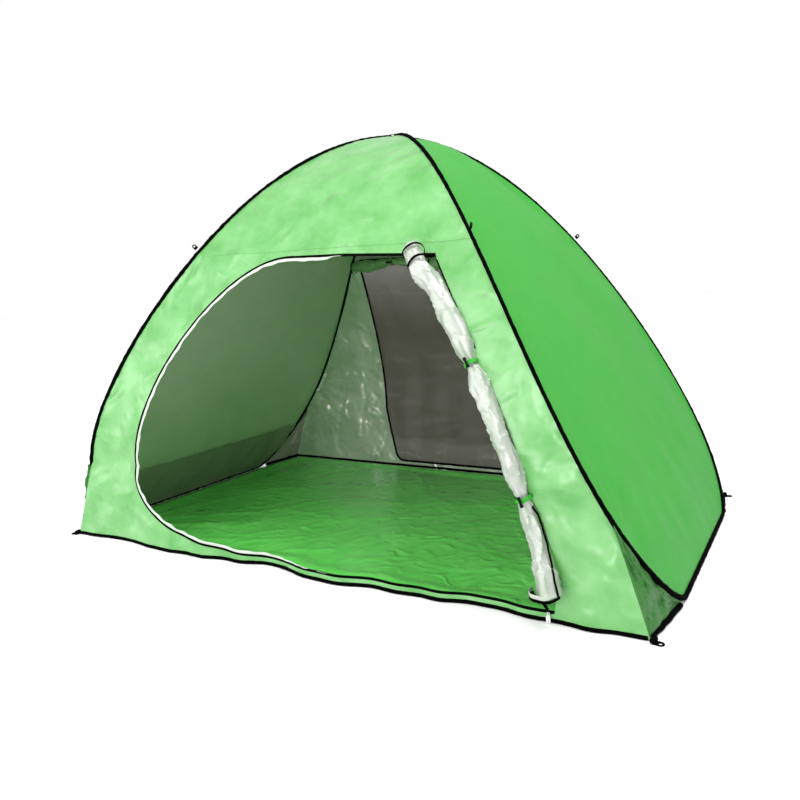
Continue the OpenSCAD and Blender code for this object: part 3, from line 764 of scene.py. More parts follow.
WEBBING = cloth("black_webbing", (0.0012, 0.0012, 0.0012), through=0.0, rough=0.9, sheen=0.0, crumple=0.1,
                coat=0.0, weave=0.0022, specular=0.03)
NET = netting("window_net", (0.075, 0.068, 0.042), 0.86, (0.55, 1.62))
ZIP = plain("zip_black", (0.0012, 0.0012, 0.0012), 0.7, specular=0.04)
WHITE = plain("pull_white", (0.80, 0.80, 0.78), 0.35)
TOGGLE = plain("toggle_black", (0.0020, 0.0020, 0.0020), 0.5, specular=0.10)
STEEL = plain("spring_steel", (0.50, 0.50, 0.52), 0.3, metal=1.0)

KEYS = {
    "wall_fabric": GREEN, "floor_fabric": FLOOR, "binding_tape": BLACK, "silver_lining": SILVER,
    "window_netting": NET, "spring_wire": STEEL, "zip_plastic": ZIP, "zip_plastic_white": WHITE,
    "webbing": WEBBING,
}


# ---- how pieces ride with their bodies ----


def bend_with_sides(obj):
    """The piece spans both sides; this bakes its transform into its mesh and reads its points."""
    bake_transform(obj)
    co = np.zeros(len(obj.data.vertices) * 3)
    obj.data.vertices.foreach_get("co", co)


def finish_piece(obj, body, nodes):
    """Attaches a piece to a body, or only bakes its transform when body is None."""
    if body is None:
        bend_with_sides(obj)
    else:
        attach(obj, body)
    if nodes:
        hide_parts(*nodes)
    return obj


LEAST_SHARE = 0.301


def declare(obj):
    """Works out a sheet's area, at least LEAST_SHARE of its flat box for a panel that its opening mostly takes; the
    area is not kept. Declare a sheet. A panel that its opening mostly takes is declared at LEAST_SHARE, above its
    real area.
    """
    w, length, area = obj["flat_w"], obj["flat_l"], obj["flat_area"]
    area = min(max(area, LEAST_SHARE * w * length), w * length)


# ---- hoops ----

def hoop_path():
    """The right-hand hoop's middle line, from its rear foot over the peak to its front foot."""
    turn = math.atan2(EDGE[1, 0], -EDGE[1, 1])
    gap = 0.010
    r = gap / (math.sin(turn) * math.tan(turn) - 1 + math.cos(turn))
    a = np.linspace(0, turn, 8)
    tip = np.stack([gap + r * (1 - np.cos(a)), -r * np.sin(a), CROWN - 0.0006 * a / turn], axis=1)
    down = bezier(EDGE, np.linspace(0.022, 1, 200))
    run = np.array([[FOOT_X, -FOOT_HALF * k, SLEEVE_R] for k in np.linspace(0.97, 0.002, 40)])
    half = np.vstack([tip, down, run])
    full = np.vstack([half[::-1][:-1] * [1, -1, 1], half])
    return even(full, 0.007)


hoop = hoop_path()


def mirrored_x(path):
    return path * [-1, 1, 1]


for side_name, way in (("right", 1), ("left", -1)):
    path = hoop if way > 0 else mirrored_x(hoop)
    ref = (0.8 * way, 0, 0.6)
    body = f"{side_name}_side"
    slim = 0.0030 if way > 0 else 0.0008
    sleeve_size = SLEEVE_R - slim * smooth(0.05, 0.45, path[:, 2]) * (1 - 0.5 * smooth(1.0, 1.3, path[:, 2]))
    sleeve = round_tube(f"{side_name}_sleeve_cloth", path, ref, sleeve_size, BLACK, 14, True, 0.13, 40 + way)
    finish_piece(sleeve, body, [f"{side_name}_sleeve"])
    wire = round_tube(f"{side_name}_spring_wire", path, ref, 0.0025, STEEL, 8, True)
    finish_piece(wire, body, [f"{side_name}_wire"])
    crimps = np.array([0.0036, 0.0037, 0.0031, 0.0037, 0.0037, 0.0031, 0.0037, 0.0036])
    at = np.array([-0.030, -0.017, -0.015, -0.013, 0.013, 0.015, 0.017, 0.030])
    line = np.stack([np.full(8, way * FOOT_X), at, np.full(8, SLEEVE_R)], axis=1)
    ferrule = round_tube(f"{side_name}_crimped_ferrule", line, (0, 0, 1), crimps, STEEL, 16)
    finish_piece(ferrule, body, [f"{side_name}_ferrule"])

# ---- side walls ----


leaf_outline = leaf_loop(right, 0.005)
leaf_near = refined(leaf_outline, 0.012)


def leaf_lift(points):
    """Gentle tension folds of a side wall, stronger near its rounded foot."""
    s = points[:, 1]
    d, which = distance_to(points, leaf_near)
    inner = smooth(0.0, 0.03, d)
    low = smooth(0.9, 1.75, s)
    height = 0.0030 * swell(points, 0.55, 3) + 0.0008 * swell(points, 0.16, 4) * (0.4 + low)
    height += 0.0007 * np.sin(which * 1.9 + 2 * swell(points, 0.08, 5)) * np.exp(-d / 0.022) * (0.3 + low)
    height += fans(points, [
        (-0.60, 1.52, -95, -20, 5, 0.40, 0.0022, 11),
        (0.60, 1.52, -160, -85, 5, 0.40, 0.0022, 12),
        (-0.45, 1.86, -150, -60, 6, 0.26, 0.0026, 13),
        (0.45, 1.86, -120, -30, 6, 0.26, 0.0026, 14),
    ])
    return height * inner


for side_name, wall in (("right", right), ("left", left)):
    panel = wall_sheet(f"{side_name}_panel_cloth", wall, leaf_outline, [], leaf_lift, [GREEN, LINING], 0.012)
    finish_piece(panel, f"{side_name}_side", [f"{side_name}_panel"])
    declare(panel)

    # The tub wall stands just inside the side wall.
    s_high, s_low = wall.s_of(0.185), wall.s_of(0.011)
    side_path = leaf_loop(wall, 0.012)
    side_path = side_path[:len(side_path) // 2]
    s_row = np.linspace(s_high, s_low, 14)
    half_row = np.interp(s_row, side_path[:, 1], side_path[:, 0])
    tub_outline = np.vstack([
        np.stack([half_row, s_row], axis=1), np.stack([-half_row[::-1], s_row[::-1]], axis=1)])

    def tub_lift(points):
        free = smooth(0, 0.06, s_low - points[:, 1])
        folds = 0.0022 * (1 + swell(points, 0.14, 21)) + 0.0012 * (1 + swell(points, 0.05, 22))
        return leaf_lift(points) - free * folds

    tub = wall_sheet(f"{side_name}_tub_cloth", wall, tub_outline, [], tub_lift, [TUB], 0.014, offset=-0.0065)
    finish_piece(tub, f"{side_name}_side", [f"{side_name}_tub_wall"])
    declare(tub)

# ---- front and rear walls ----

seam_u = np.linspace(0.08, 0.975, 90)
drawn_in = (0.007 + 0.75 * (ROLL_R - roll_size(seam_u))) * smooth(0.08, 0.14, seam_u)
seam_edge = shifted(bezier(DOOR_SEAM, seam_u), drawn_in)
door_loop_xz = np.vstack([door_outline(), seam_edge])
door_loop = front.on(door_loop_xz[:, 0], door_loop_xz[:, 1])
door_near = refined(door_loop, 0.01)
window_xz = window_outline()
window_loop = rear.on(window_xz[:, 0], window_xz[:, 1])
window_near = refined(window_loop, 0.01)
SEAM_S = float(front.s_of(SEAM_Z))
wall_border = wall_loop(front, 0.0, CROWN, 0.0)
wall_border = even(wall_border[:len(wall_border) // 2], 0.01)


def edge_distance(points):
    """Distance to the nearer hoop or gusset seam, and how far along it."""
    return distance_to(np.stack([np.abs(points[:, 0]), points[:, 1]], axis=1), wall_border)


def seam_puckers(points, size=0.0011):
    d = np.abs(points[:, 1] - SEAM_S)
    wave = np.sin(2 * math.pi * points[:, 0] / 0.021 + 2.2 * swell(points, 0.09, 31))
    return size * wave * np.exp(-d / 0.016) * (0.6 + 0.4 * swell(points[:, :1], 0.2, 32))


def front_lift(points):
    edge, along = edge_distance(points)
    door, round_door = distance_to(points, door_near)
    low = smooth(0.8, 1.35, points[:, 1])
    height = 0.0030 * swell(points, 0.42, 41) + (0.0010 + 0.0020 * low) * swell(points, 0.13, 42)
    height += (0.0024 * crease(points, 0.20, 47) + 0.0018 * crease(points, 0.09, 48)) * (0.25 + 0.75 * low)
    height += seam_puckers(points)
    height += 0.0018 * np.sin(along * 2.3 + 2 * swell(points, 0.07, 43)) * np.exp(-edge / 0.024)
    height += 0.0014 * np.sin(round_door * 2.6 + 2 * swell(points, 0.06, 44)) * np.exp(-door / 0.018)
    height += fans(points, [
        (0.905, 1.235, 150, 250, 6, 0.35, 0.0065, 51),
        (-0.905, 1.235, -70, 30, 6, 0.35, 0.0055, 52),
        (0.99, 1.50, 170, 265, 6, 0.30, 0.0060, 53),
        (-0.99, 1.50, -85, 10, 6, 0.32, 0.0065, 54),
        (0.555, 0.66, 20, 110, 6, 0.24, 0.0045, 55),
        (0.70, 1.04, -30, 80, 5, 0.20, 0.0050, 58),
        (-0.49, 0.60, 10, 120, 6, 0.30, 0.0040, 56),
        (-0.69, 1.10, 140, 230, 6, 0.24, 0.0050, 59),
        (0.0, 0.03, 55, 125, 5, 0.30, 0.0018, 57),
    ])
    hold = smooth(0.0, 0.02, edge) * (0.25 + 0.75 * smooth(0.0, 0.03, door))
    sill = smooth(0.0, 0.05, front.s[-1] - points[:, 1])
    return height * hold * sill


def rear_lift(points):
    edge, along = edge_distance(points)
    window = distance_to(points, window_near)[0]
    low = smooth(0.75, 1.25, points[:, 1])
    height = 0.0030 * swell(points, 0.40, 61) + 0.0014 * swell(points, 0.12, 62)
    height += seam_puckers(points, 0.0009)
    height += 0.0060 * crease(points, 0.22, 63) * low + 0.0050 * crease(points, 0.10, 64) * low
    height += 0.0012 * np.sin(along * 2.1 + 2 * swell(points, 0.07, 65)) * np.exp(-edge / 0.03)
    height += fans(points, [
        (-0.905, 1.235, -50, 50, 8, 0.50, 0.0110, 71),
        (0.905, 1.235, 130, 230, 8, 0.50, 0.0110, 72),
        (-0.46, 1.42, 150, 250, 6, 0.28, 0.0080, 73),
        (0.46, 1.42, -70, 30, 6, 0.28, 0.0080, 74),
    ])
    hold = smooth(0.0, 0.02, edge) * smooth(0.0, 0.03, window)
    sill = smooth(0.0, 0.04, rear.s[-1] - points[:, 1])
    return height * hold * sill


TUCK = 0.005
# The front wall wears the copy of the wall green with painted sheen and painted crease shade.
# The rear wall's inside wears the copy of the lining with painted light.
for wall_name, wall, opening, lift, faces_of in (("front", front, door_loop, front_lift, [FRONT_PAINTED_SHEEN, LINING]),
                                                 ("rear", rear, window_loop, rear_lift, [GREEN, REAR_LINING_PAINTED_LIGHT])):
    upper = wall_sheet(f"{wall_name}_upper_cloth", wall, wall_loop(wall, TUCK, CROWN, SEAM_Z - 0.006), [],
                       lambda p, f=lift: f(p) + 0.0009 * smooth(SEAM_S - 0.02, SEAM_S, p[:, 1]),
                       faces_of, 0.011)
    finish_piece(upper, None, [f"{wall_name}_upper_panel"])
    declare(upper)
    lower = wall_sheet(f"{wall_name}_lower_cloth", wall, wall_loop(wall, TUCK, SEAM_Z + 0.004, 0.004),
                       [opening], lift, faces_of, 0.010)
    finish_piece(lower, None, [f"{wall_name}_lower_panel"])
    declare(lower)

# ---- gussets ----


def gusset_grid(y_way, x_way, seed):
    """The corner between a wall's seam, the hoop's lower edge and the ground."""
    u = np.linspace(0, 1, 56)
    v = np.linspace(0, 1, 44)
    top, corner = bezier(EDGE, GUSSET_T)[0], np.array([HALF_W, -HALF_D, 0.004])
    seam = top + u[:, None] * (corner - top)
    rim = bezier(EDGE, GUSSET_T + (0.965 - GUSSET_T) * u)
    rim[:, 2] = np.maximum(rim[:, 2], 0.006)
    grid = seam[:, None] * (1 - v)[None, :, None] + rim[:, None] * v[None, :, None]
    width = 0.02 + 0.30 * u[:, None] * np.ones((1, len(v)))
    flat = np.stack([(v[None, :] * width), u[:, None] * 0.28 * np.ones((1, len(v)))], axis=-1)
    points = flat.reshape(-1, 2)
    folds = fans(points, [
        (0.0, 0.0, 40, 92, 6, 0.30, 0.0075, seed),
        (0.0, 0.28, -62, -4, 7, 0.30, 0.0075, seed + 1),
        (0.30, 0.26, 185, 235, 4, 0.24, 0.0060, seed + 2),
    ]) + 0.0045 * swell(points, 0.10, seed + 3) + 0.0040 * (crease(points, 0.07, seed + 4) - 0.3)
    hold = smooth(0, 0.12, v)[None, :] * smooth(0, 0.18, 1 - v)[None, :] * smooth(0, 0.08, 1 - u)[:, None]
    pucker = 0.0016 * np.sin(2 * math.pi * flat[..., 1] / 0.017) * np.exp(-flat[..., 0] / 0.02)
    folds = folds + (pucker / np.maximum(hold, 0.05)).reshape(-1) * smooth(0, 0.05, points[:, 0])
    outward = np.array([0.35, -0.93, 0.05])
    grid = grid + (folds.reshape(len(u), len(v)) * hold)[..., None] * outward
    grid = grid * [x_way, y_way, 1]
    du, dv = np.diff(grid, axis=0)[:, :-1], np.diff(grid, axis=1)[:-1]
    area = float(np.linalg.norm(np.cross(du, dv), axis=2).sum())
    return grid, flat, float(np.clip(area, 0.03, 0.095))


for end_name, y_way in (("front", 1), ("rear", -1)):
    for side_name, x_way in (("right", 1), ("left", -1)):
        grid, flat, area = gusset_grid(y_way, x_way, 80 + 10 * (x_way + 1) + 3 * (y_way + 1))
        # The gussets wear the darker copy of the wall green: painted shade.
        piece = grid_shell(f"{end_name}_{side_name}_gusset_cloth", grid, 0.0008, [GUSSET_PAINTED_SHADE, LINING], flat,
                           [x_way * 0.75, -y_way * 0.65, 0.1])
        finish_piece(piece, f"{side_name}_side", [f"{side_name}_{end_name}_gusset"])

# ---- floor and bindings ----

HEM_END = FOOT_HALF + 0.062
floor_right = np.array([
    [HALF_W - 0.004, -HALF_D + 0.004], [FOOT_X - 0.012, -HEM_END],
    [FOOT_X - 0.012, HEM_END], [HALF_W - 0.004, HALF_D - 0.004],
])
floor_outline = np.vstack([floor_right, floor_right[::-1] * [-1, 1]])
floor_points, floor_triangles, floor_area = flat_cut(floor_outline, [], 0.013)
floor_edge = distance_to(floor_points, refined(floor_outline, 0.02))[0]
floor_height = (
    0.0045 * (0.6 + 0.5 * swell(floor_points, 0.45, 101))
    + 0.0035 * crease(floor_points, 0.38, 102, 4.0)
    + 0.0022 * crease(floor_points, 0.17, 103, 3.0)
    + fans(floor_points, [
        (-0.98, -0.60, 10, 70, 7, 0.9, 0.0060, 104), (-0.98, 0.60, -70, -10, 7, 0.9, 0.0060, 105),
        (0.98, -0.60, 110, 170, 7, 0.9, 0.0055, 106), (0.98, 0.60, 190, 250, 7, 0.9, 0.0055, 107),
    ])
)
floor_height = (0.0014 + np.maximum(floor_height, 0) * smooth(0.02, 0.09, floor_edge)
                + 0.0100 * smooth(0.010, 0.040, floor_edge) * (1 - smooth(0.05, 0.10, floor_edge)))
floor_y = floor_points[:, 1] + smooth(0.2, HALF_D, -floor_points[:, 1]) * (
    0.006 - front_sway(floor_points[:, 0], np.zeros(len(floor_points))))
ground = shell(
    "ground_sheet_cloth",
    np.column_stack([floor_points[:, 0], floor_y, floor_height + 0.0006]),
    np.column_stack([floor_points[:, 0], floor_y, floor_height - 0.0006]),
    floor_triangles, floor_points, [FLOOR])
finish_piece(ground, None, ["ground_sheet"])

for end_name, y_way in (("front", -1), ("rear", 1)):
    x = np.arange(-HALF_W + 0.001, HALF_W, 0.012)
    wave = 0.0010 * swell(x[:, None], 0.09, 120 + y_way)
    foot = HALF_D + (front_sway(x, np.zeros(len(x))) if y_way < 0 else 0.0) + 0.4 * wave
    line = np.stack([x, y_way * foot, 0.0062 + 0.5 * np.abs(wave)], axis=1)
    hem = flat_band(f"{end_name}_hem_binding", line, np.tile([0, 1.0, 0.0], (len(line), 1)), 0.0115, 0.0085,
                    BLACK, 12)
    finish_piece(hem, None, [f"{end_name}_hem"])

for side_name, x_way, body in (("right", 1, "floor"), ("left", -1, "left_side")):
    parts = []
    for y_way in (-1, 1):
        ends = np.array([[x_way * (HALF_W + 0.001), y_way * (HALF_D - 0.006), 0.006],
                         [x_way * (FOOT_X - 0.002), y_way * HEM_END, 0.006]])
        line = even(ends, 0.01)
        line[:, 0] += 0.0010 * swell(line, 0.06, 131)
        line[:, 2] = 0.0078
        part = flat_band(f"{side_name}_hem_part", line, np.tile([1.0 * x_way, 0, 0], (len(line), 1)), 0.0150,
                         0.0150, BLACK, 12)
        parts.append(part)
    parts[0].name = f"{side_name}_hem_front_binding"
    parts[1].name = f"{side_name}_hem_rear_binding"
    for part in parts:
        part.data.name = part.name
        finish_piece(part, body, [f"{side_name}_hem"])

# ---- door edge: zip, teeth and facing ----


def on_wall(wall, xz, lift):
    """Points and outward directions over an outline on a wall."""
    flat = wall.on(xz[:, 0], xz[:, 1])
    low, high = wall.at(flat, lift), wall.at(flat, lift + 0.01)
    return low, (high - low) / 0.01


door_edge = even(door_outline(), 0.006)
tape_line = shifted(door_edge, ZIP_W / 2)
line, out = on_wall(front, tape_line, 0.0006)
tape = flat_band("door_zip_tape", line, out, ZIP_W, 0.0016, BLACK, 8)
teeth_line = even(shifted(door_edge, ZIP_W - 0.0012), 0.0032)
line, out = on_wall(front, teeth_line, 0.0014)
beat = 0.0016 + 0.0004 * np.cos(np.arange(len(line)) * math.pi)
first, second = frames(line, (0, 1, 0))
teeth = tube("door_zip_teeth", line, (first * beat[:, None])[:, None] * np.ones((1, 8, 1)),
             (second * beat[:, None])[:, None] * np.ones((1, 8, 1)), ZIP, 8)
finish_piece(tape, None, ["door_zip"])
finish_piece(teeth, None, ["door_zip"])

facing_edge = door_edge[door_edge[:, 0] < 0.10]
facing_run = lengths(facing_edge)
ends = np.minimum(smooth(0, 0.08, facing_run), smooth(0, 0.30, facing_run[-1] - facing_run))
outer_side = shifted(facing_edge, ZIP_W - 0.002)
inner_side = shifted(facing_edge, ZIP_W - 0.001 + 0.0095 * ends)
rows = []
for k, share in enumerate(np.linspace(0, 1, 6)):
    xz = outer_side * (1 - share) + inner_side * share
    flat = front.on(xz[:, 0], xz[:, 1])
    curl = 0.0010 + 0.0014 * math.sin(math.pi * share) + 0.0018 * share * swell(flat, 0.05, 141)
    rows.append(front.at(flat, curl))
grid = np.stack(rows)
run = lengths(facing_edge)
flat = np.stack([np.linspace(0, 0.0105, 6)[:, None] * np.ones((1, len(run))), np.tile(run, (6, 1))], axis=-1)
facing = grid_shell("door_facing_strip", grid, 0.0007, [FACING], flat, [0, -1.0, 0])
finish_piece(facing, None, ["door_facing"])

# ---- rolled up door ----


def roll_centre(u):
    """The middle of the rolled door, beside its seam."""
    u = np.asarray(u, float)
    p = bezier(DOOR_SEAM, u)
    ahead = bezier(DOOR_SEAM, u + 0.01) - p
    ahead /= np.linalg.norm(ahead, axis=1, keepdims=True)
    lean = 0.010 * smooth(0.90, 1.0, u)[..., None]
    q = p + (ROLL_R + 0.002 + lean) * np.stack([-ahead[:, 1], ahead[:, 0]], axis=1)
    wall_y = np.interp(-q[:, 1], -front.p[:, 1], front.p[:, 0])
    out = 0.006 + 0.034 * np.exp(-((u - 1) / 0.075) ** 2) + 0.027 * np.exp(-((u - ROLL_LOW) / 0.05) ** 2)
    return np.stack([q[:, 0], -wall_y - out, q[:, 1]], axis=1)


def spiral_roll(name, centre, ref, outer, inner, turns, per_turn, start_angle, bulge, material, thick=0.0006):
    """A sheet wound into a roll: outer radius along its length, and bulge for its folds."""
    first, second = frames(centre, ref)
    n = turns * per_turn + 1
    theta = np.linspace(0, 2 * math.pi * turns, n)
    share = theta / theta[-1]
    r = inner + (outer[:, None] - inner) * share[None, :]
    angle = theta + start_angle
    around = np.stack([np.cos(angle), np.sin(angle)], axis=1)
    run = lengths(centre)
    r = r + bulge(around, run, outer) * (share ** 1.5)[None, :]
    grid = (centre[:, None] + (r * around[:, 0])[..., None] * first[:, None]
            + (r * around[:, 1])[..., None] * second[:, None])
    wound = np.concatenate([[0], np.cumsum(np.abs(np.diff(theta)) * r.mean(axis=0)[1:])])
    flat = np.stack([np.tile(wound, (len(centre), 1)), np.tile(run[:, None], (1, n))], axis=-1)
    obj = grid_shell(name, grid, thick, [material], flat, grid - centre[:, None])
    du, dv = np.diff(grid, axis=0)[:, :-1], np.diff(grid, axis=1)[:-1]
    obj["flat_area"] = float(np.linalg.norm(np.cross(du, dv), axis=2).sum())
    obj["flat_w"], obj["flat_l"] = float(wound[-1]), float(run[-1])
    return obj


def door_bulge(around, run, outer):
    """Folds of the rolled door: long lobes that draw in to the ties, and crumples between them."""
    u = ROLL_LOW + (ROLL_HIGH - ROLL_LOW) * run / run[-1]
    skin = np.concatenate([
        np.repeat(around[None] * 0.03, len(run), axis=0),
        np.repeat(0.42 * run[:, None, None], len(around), axis=1)], axis=2)
    near = np.exp(-((u - UPPER_TIE) / 0.07) ** 2) + np.exp(-((u - LOWER_TIE) / 0.07) ** 2)
    angle = np.arctan2(around[:, 1], around[:, 0])
    lobes = np.cos(5 * angle)[None, :] * np.ones((len(run), 1)) * 0.0024 * near[:, None]
    body = 0.0036 * swell(skin, 0.12, 151) + 0.0020 * swell(skin, 0.045, 152)
    ridge = 0.0060 * (crease(skin, 0.060, 153, 2.5) - 0.3) + 0.0030 * (crease(skin, 0.030, 154, 2.0) - 0.3)
    return lobes + (body + ridge) * (outer / ROLL_R)[:, None]


roll_u = np.linspace(ROLL_LOW, ROLL_HIGH, 210)
centre = roll_centre(roll_u)
roll = spiral_roll("door_rolled_cloth", centre, (0, 1, 0), roll_size(roll_u) - 0.002, 0.006, 8, 36, 1.2,
                   door_bulge, SILVER)
finish_piece(roll, "door", ["door_roll"])


def band_round(name, u_mid, radius, width, thick, material, wobble=0.0, seed=1):
    """A tape wound once round the rolled door."""
    point = roll_centre([u_mid])[0]
    ahead = roll_centre([u_mid + 0.01])[0] - point
    ahead /= np.linalg.norm(ahead)
    first, second = frames(np.array([point, point + ahead]), (0, 1, 0))
    a = np.linspace(0, 2 * math.pi, 48, endpoint=False)
    ring = radius * (np.cos(a)[:, None] * first[0] + np.sin(a)[:, None] * second[0])
    path = point + ring + wobble * np.sin(2 * a + seed)[:, None] * ahead
    out = ring / radius
    across = np.broadcast_to(ahead, ring.shape)
    return tube(name, path, (across * width / 2)[:, None] * np.ones((1, 8, 1)),
                (out * thick / 2)[:, None] * np.ones((1, 8, 1)), material, 8, close=True)


for tie_name, u_mid, pinch in (("upper", UPPER_TIE, 0.50), ("lower", LOWER_TIE, 0.64)):
    band = band_round(f"door_{tie_name}_tie_band", u_mid, ROLL_R * pinch + 0.0035, 0.012, 0.0018, GREEN, 0.001)
    finish_piece(band, "door", [f"door_{tie_name}_tie"])

TOGGLE_PROFILE = [
    (0.0020, -0.0140), (0.0036, -0.0136), (0.0044, -0.0126), (0.0045, -0.0075), (0.0034, -0.0060),
    (0.0032, -0.0020), (0.0036, 0.0), (0.0032, 0.0020), (0.0034, 0.0060), (0.0045, 0.0075),
    (0.0044, 0.0126), (0.0036, 0.0136), (0.0020, 0.0140),
]
for tie_name, u_mid, pinch in (("upper", UPPER_TIE, 0.50), ("lower", LOWER_TIE, 0.64)):
    point = roll_centre([u_mid])[0]
    ahead = roll_centre([u_mid + 0.01])[0] - point
    ahead = ahead / np.linalg.norm(ahead)
    aside = np.array([0, -1.0, 0]) - np.array([0, -1.0, 0]) @ ahead * ahead
    aside /= np.linalg.norm(aside)
    toggle = lathe(f"door_{tie_name}_toggle_barrel", TOGGLE_PROFILE,
                   place_along(point + aside * (ROLL_R * pinch + 0.0105), ahead), TOGGLE)
    finish_piece(toggle, "door", [f"door_{tie_name}_toggle"])

for k, u_mid in enumerate((0.982, 1.010)):
    band = band_round(f"door_end_tape_{k + 1}", u_mid, ROLL_R + 0.0006, 0.0080, 0.0018, BLACK, 0.0025, k)
    finish_piece(band, "door", ["door_end_tape"])

piping_xz = shifted(even(bezier(DOOR_SEAM, np.linspace(0.70, 0.97, 60)), 0.006), 0.0085)
piping_line, piping_out = on_wall(front, piping_xz, 0.0012)
piping = flat_band("door_seam_piping", piping_line, piping_out, 0.0040, 0.0022, BLACK, 8, 0.0008, 158)
finish_piece(piping, None, ["door_zip"])

foot_point = roll_centre([ROLL_LOW])[0]
foot_ahead = roll_centre([ROLL_LOW + 0.01])[0] - foot_point
foot_ahead /= np.linalg.norm(foot_ahead)
turn = np.radians(np.linspace(-75, 110, 44))
around_foot = np.stack([-np.sin(turn), -np.cos(turn), 0 * turn], axis=1)
stretch = 1.15 + 0.35 * smooth(0.3, 1.0, np.sin(turn))
for lip_name, drop, width, lip_material, slot_key in (
        ("white", 0.0045, 0.0110, SILVER, "silver_lining"), ("black", -0.0050, 0.0085, BLACK, "binding_tape")):
    lip_line = (foot_point + around_foot * (ROLL_R * stretch)[:, None]
                + foot_ahead * (drop + 0.006 * np.sin(turn) ** 2 - 0.004 * np.sin(turn))[:, None])
    lip = flat_band(f"door_roll_lip_{lip_name}", lip_line, around_foot, width, 0.0020, lip_material, 10, 0.0006, 159)
    finish_piece(lip, "door", ["door_roll" if lip_name == "white" else "door_zip_tail"])
edge_u = np.linspace(ROLL_LOW + 0.002, LOWER_TIE - 0.02, 60)
edge_way = np.array([0.86, -0.51, 0.12])
edge_line = even(roll_centre(edge_u) + edge_way * (roll_size(edge_u) * 1.10)[:, None], 0.004)
edge_band = flat_band("door_roll_edge_tape", edge_line, np.tile(edge_way, (len(edge_line), 1)),
                      0.0065, 0.0022, BLACK, 10, 0.0010, 160)
finish_piece(edge_band, "door", ["door_zip_tail"])
tail_line = even(bezier([
    foot_point + [-0.040, -0.006, 0.000], foot_point + [-0.014, -0.008, -0.006],
    [SLIDER_X - 0.004, -HALF_D - 0.007, DOOR_SILL + 0.013],
], np.linspace(0, 1, 40)), 0.004)
tail = flat_band("door_zip_tail_tape", tail_line, np.tile([0, -1.0, 0], (len(tail_line), 1)), 0.0100, 0.0026,
                 BLACK, 10, 0.0006, 161)
finish_piece(tail, "door", ["door_zip_tail"])

# ---- zip slider and pull ----

ZIP_MID = DOOR_SILL + ZIP_W / 2
wall_low_y = -float(np.interp(-ZIP_MID, -front.p[:, 1], front.p[:, 0]))
base = np.array([SLIDER_X, wall_low_y - 0.0023, ZIP_MID])
slider_place = Matrix(((1, 0, 0, base[0]), (0, 0, -1, base[1] - 0.0015), (0, 1, 0, base[2]), (0, 0, 0, 1)))
slider = plate("zip_slider_body", [[-0.008, -0.0045], [0.008, -0.003], [0.008, 0.003], [-0.008, 0.0045]], [],
               0.0030, slider_place, ZIP, 0.002, 0.0007)
finish_piece(slider, "slider", ["zip_slider"])
bridge_line = bezier([[-0.0065, 0, 0.0], [-0.006, 0, 0.0055], [0.002, 0, 0.0055], [0.003, 0, 0.0]],
                     np.linspace(0, 1, 16))
bridge_line = np.array([slider_place @ Vector(p) for p in bridge_line])
bridge = round_tube("zip_slider_bridge", bridge_line, (0, 0, 1), 0.0009, ZIP, 10)
finish_piece(bridge, "slider", [])

pull_place = Matrix(((1, 0, 0, SLIDER_X - 0.002), (0, 0, -1, base[1] - 0.0054), (0, 1, 0, ZIP_MID), (0, 0, 0, 1)))
pull_outline = [[-0.0032, 0.0010], [0.0032, 0.0010], [0.0034, -0.0080], [0.0053, -0.0110], [0.0053, -0.0240],
                [0.0036, -0.0260], [-0.0036, -0.0260], [-0.0053, -0.0240], [-0.0053, -0.0110], [-0.0034, -0.0080]]
window_hole = [[-0.0018, -0.0012], [0.0018, -0.0012], [0.0018, -0.0065], [-0.0018, -0.0065]]
pull = plate("zip_pull_tab", pull_outline, [window_hole, circle(0, -0.022, 0.0018, 16)], 0.0018, pull_place,
             WHITE, 0.002, 0.0004)
finish_piece(pull, "pull", ["zip_pull"])

# ---- window ----

net_outline = shifted(even(np.vstack([window_xz, window_xz[:1]]), 0.01), -0.005)[:-1]


def net_lift(points):
    window = distance_to(points, window_near)[0]
    hang = 0.0050 * swell(points * [1.0, 0.25], 0.16, 171) + 0.0030 * swell(points, 0.22, 172)
    return hang * smooth(0, 0.05, window)


net = wall_sheet("window_net_sheet", rear, rear.on(net_outline[:, 0], net_outline[:, 1]), [], net_lift, [NET],
                 0.014, thick=0.0003)
finish_piece(net, None, ["window_mesh"])
declare(net)

binding_line = shifted(even(np.vstack([window_xz, window_xz[:1]]), 0.008), -0.0045)
line, out = on_wall(rear, binding_line, 0.0)
binding = flat_band("window_binding_tape", line, out, 0.0110, 0.0036, BLACK, 10, 0.0005, 173)
finish_piece(binding, None, ["window_binding"])


def cover_centre(x):
    x = np.asarray(x, float)
    z = WINDOW_HEAD - 0.018 - 0.016 * (1 - np.exp(-((np.abs(x) - COVER_TIE_X) / 0.110) ** 2))
    wall_y = np.interp(-z, -rear.p[:, 1], rear.p[:, 0])
    return np.stack([x, wall_y - 0.036, z], axis=1)


def cover_size(x):
    pinch = 0.5 * np.exp(-((np.abs(x) - COVER_TIE_X) / 0.045) ** 2)
    flare = 0.12 * np.exp(-((np.abs(x) - 0.430) / 0.060) ** 2)
    return COVER_R * (1 - pinch + flare)


def cover_bulge(around, run, outer):
    skin = np.concatenate([
        np.repeat(around[None] * 0.024, len(run), axis=0),
        np.repeat(run[:, None, None], len(around), axis=1)], axis=2)
    return (0.0040 * swell(skin, 0.14, 181) + 0.0020 * swell(skin, 0.05, 182)
            + 0.0020 * (crease(skin, 0.08, 183, 2.5) - 0.3)) * (outer / COVER_R)[:, None]


cover_x = np.linspace(-WINDOW_HALF - 0.006, WINDOW_HALF + 0.006, 120)
cover = spiral_roll("window_cover_rolled", cover_centre(cover_x), (0, 0, 1), cover_size(cover_x) - 0.002, 0.005,
                    9, 22, 0.4, cover_bulge, COVER)
finish_piece(cover, None, ["window_cover"])

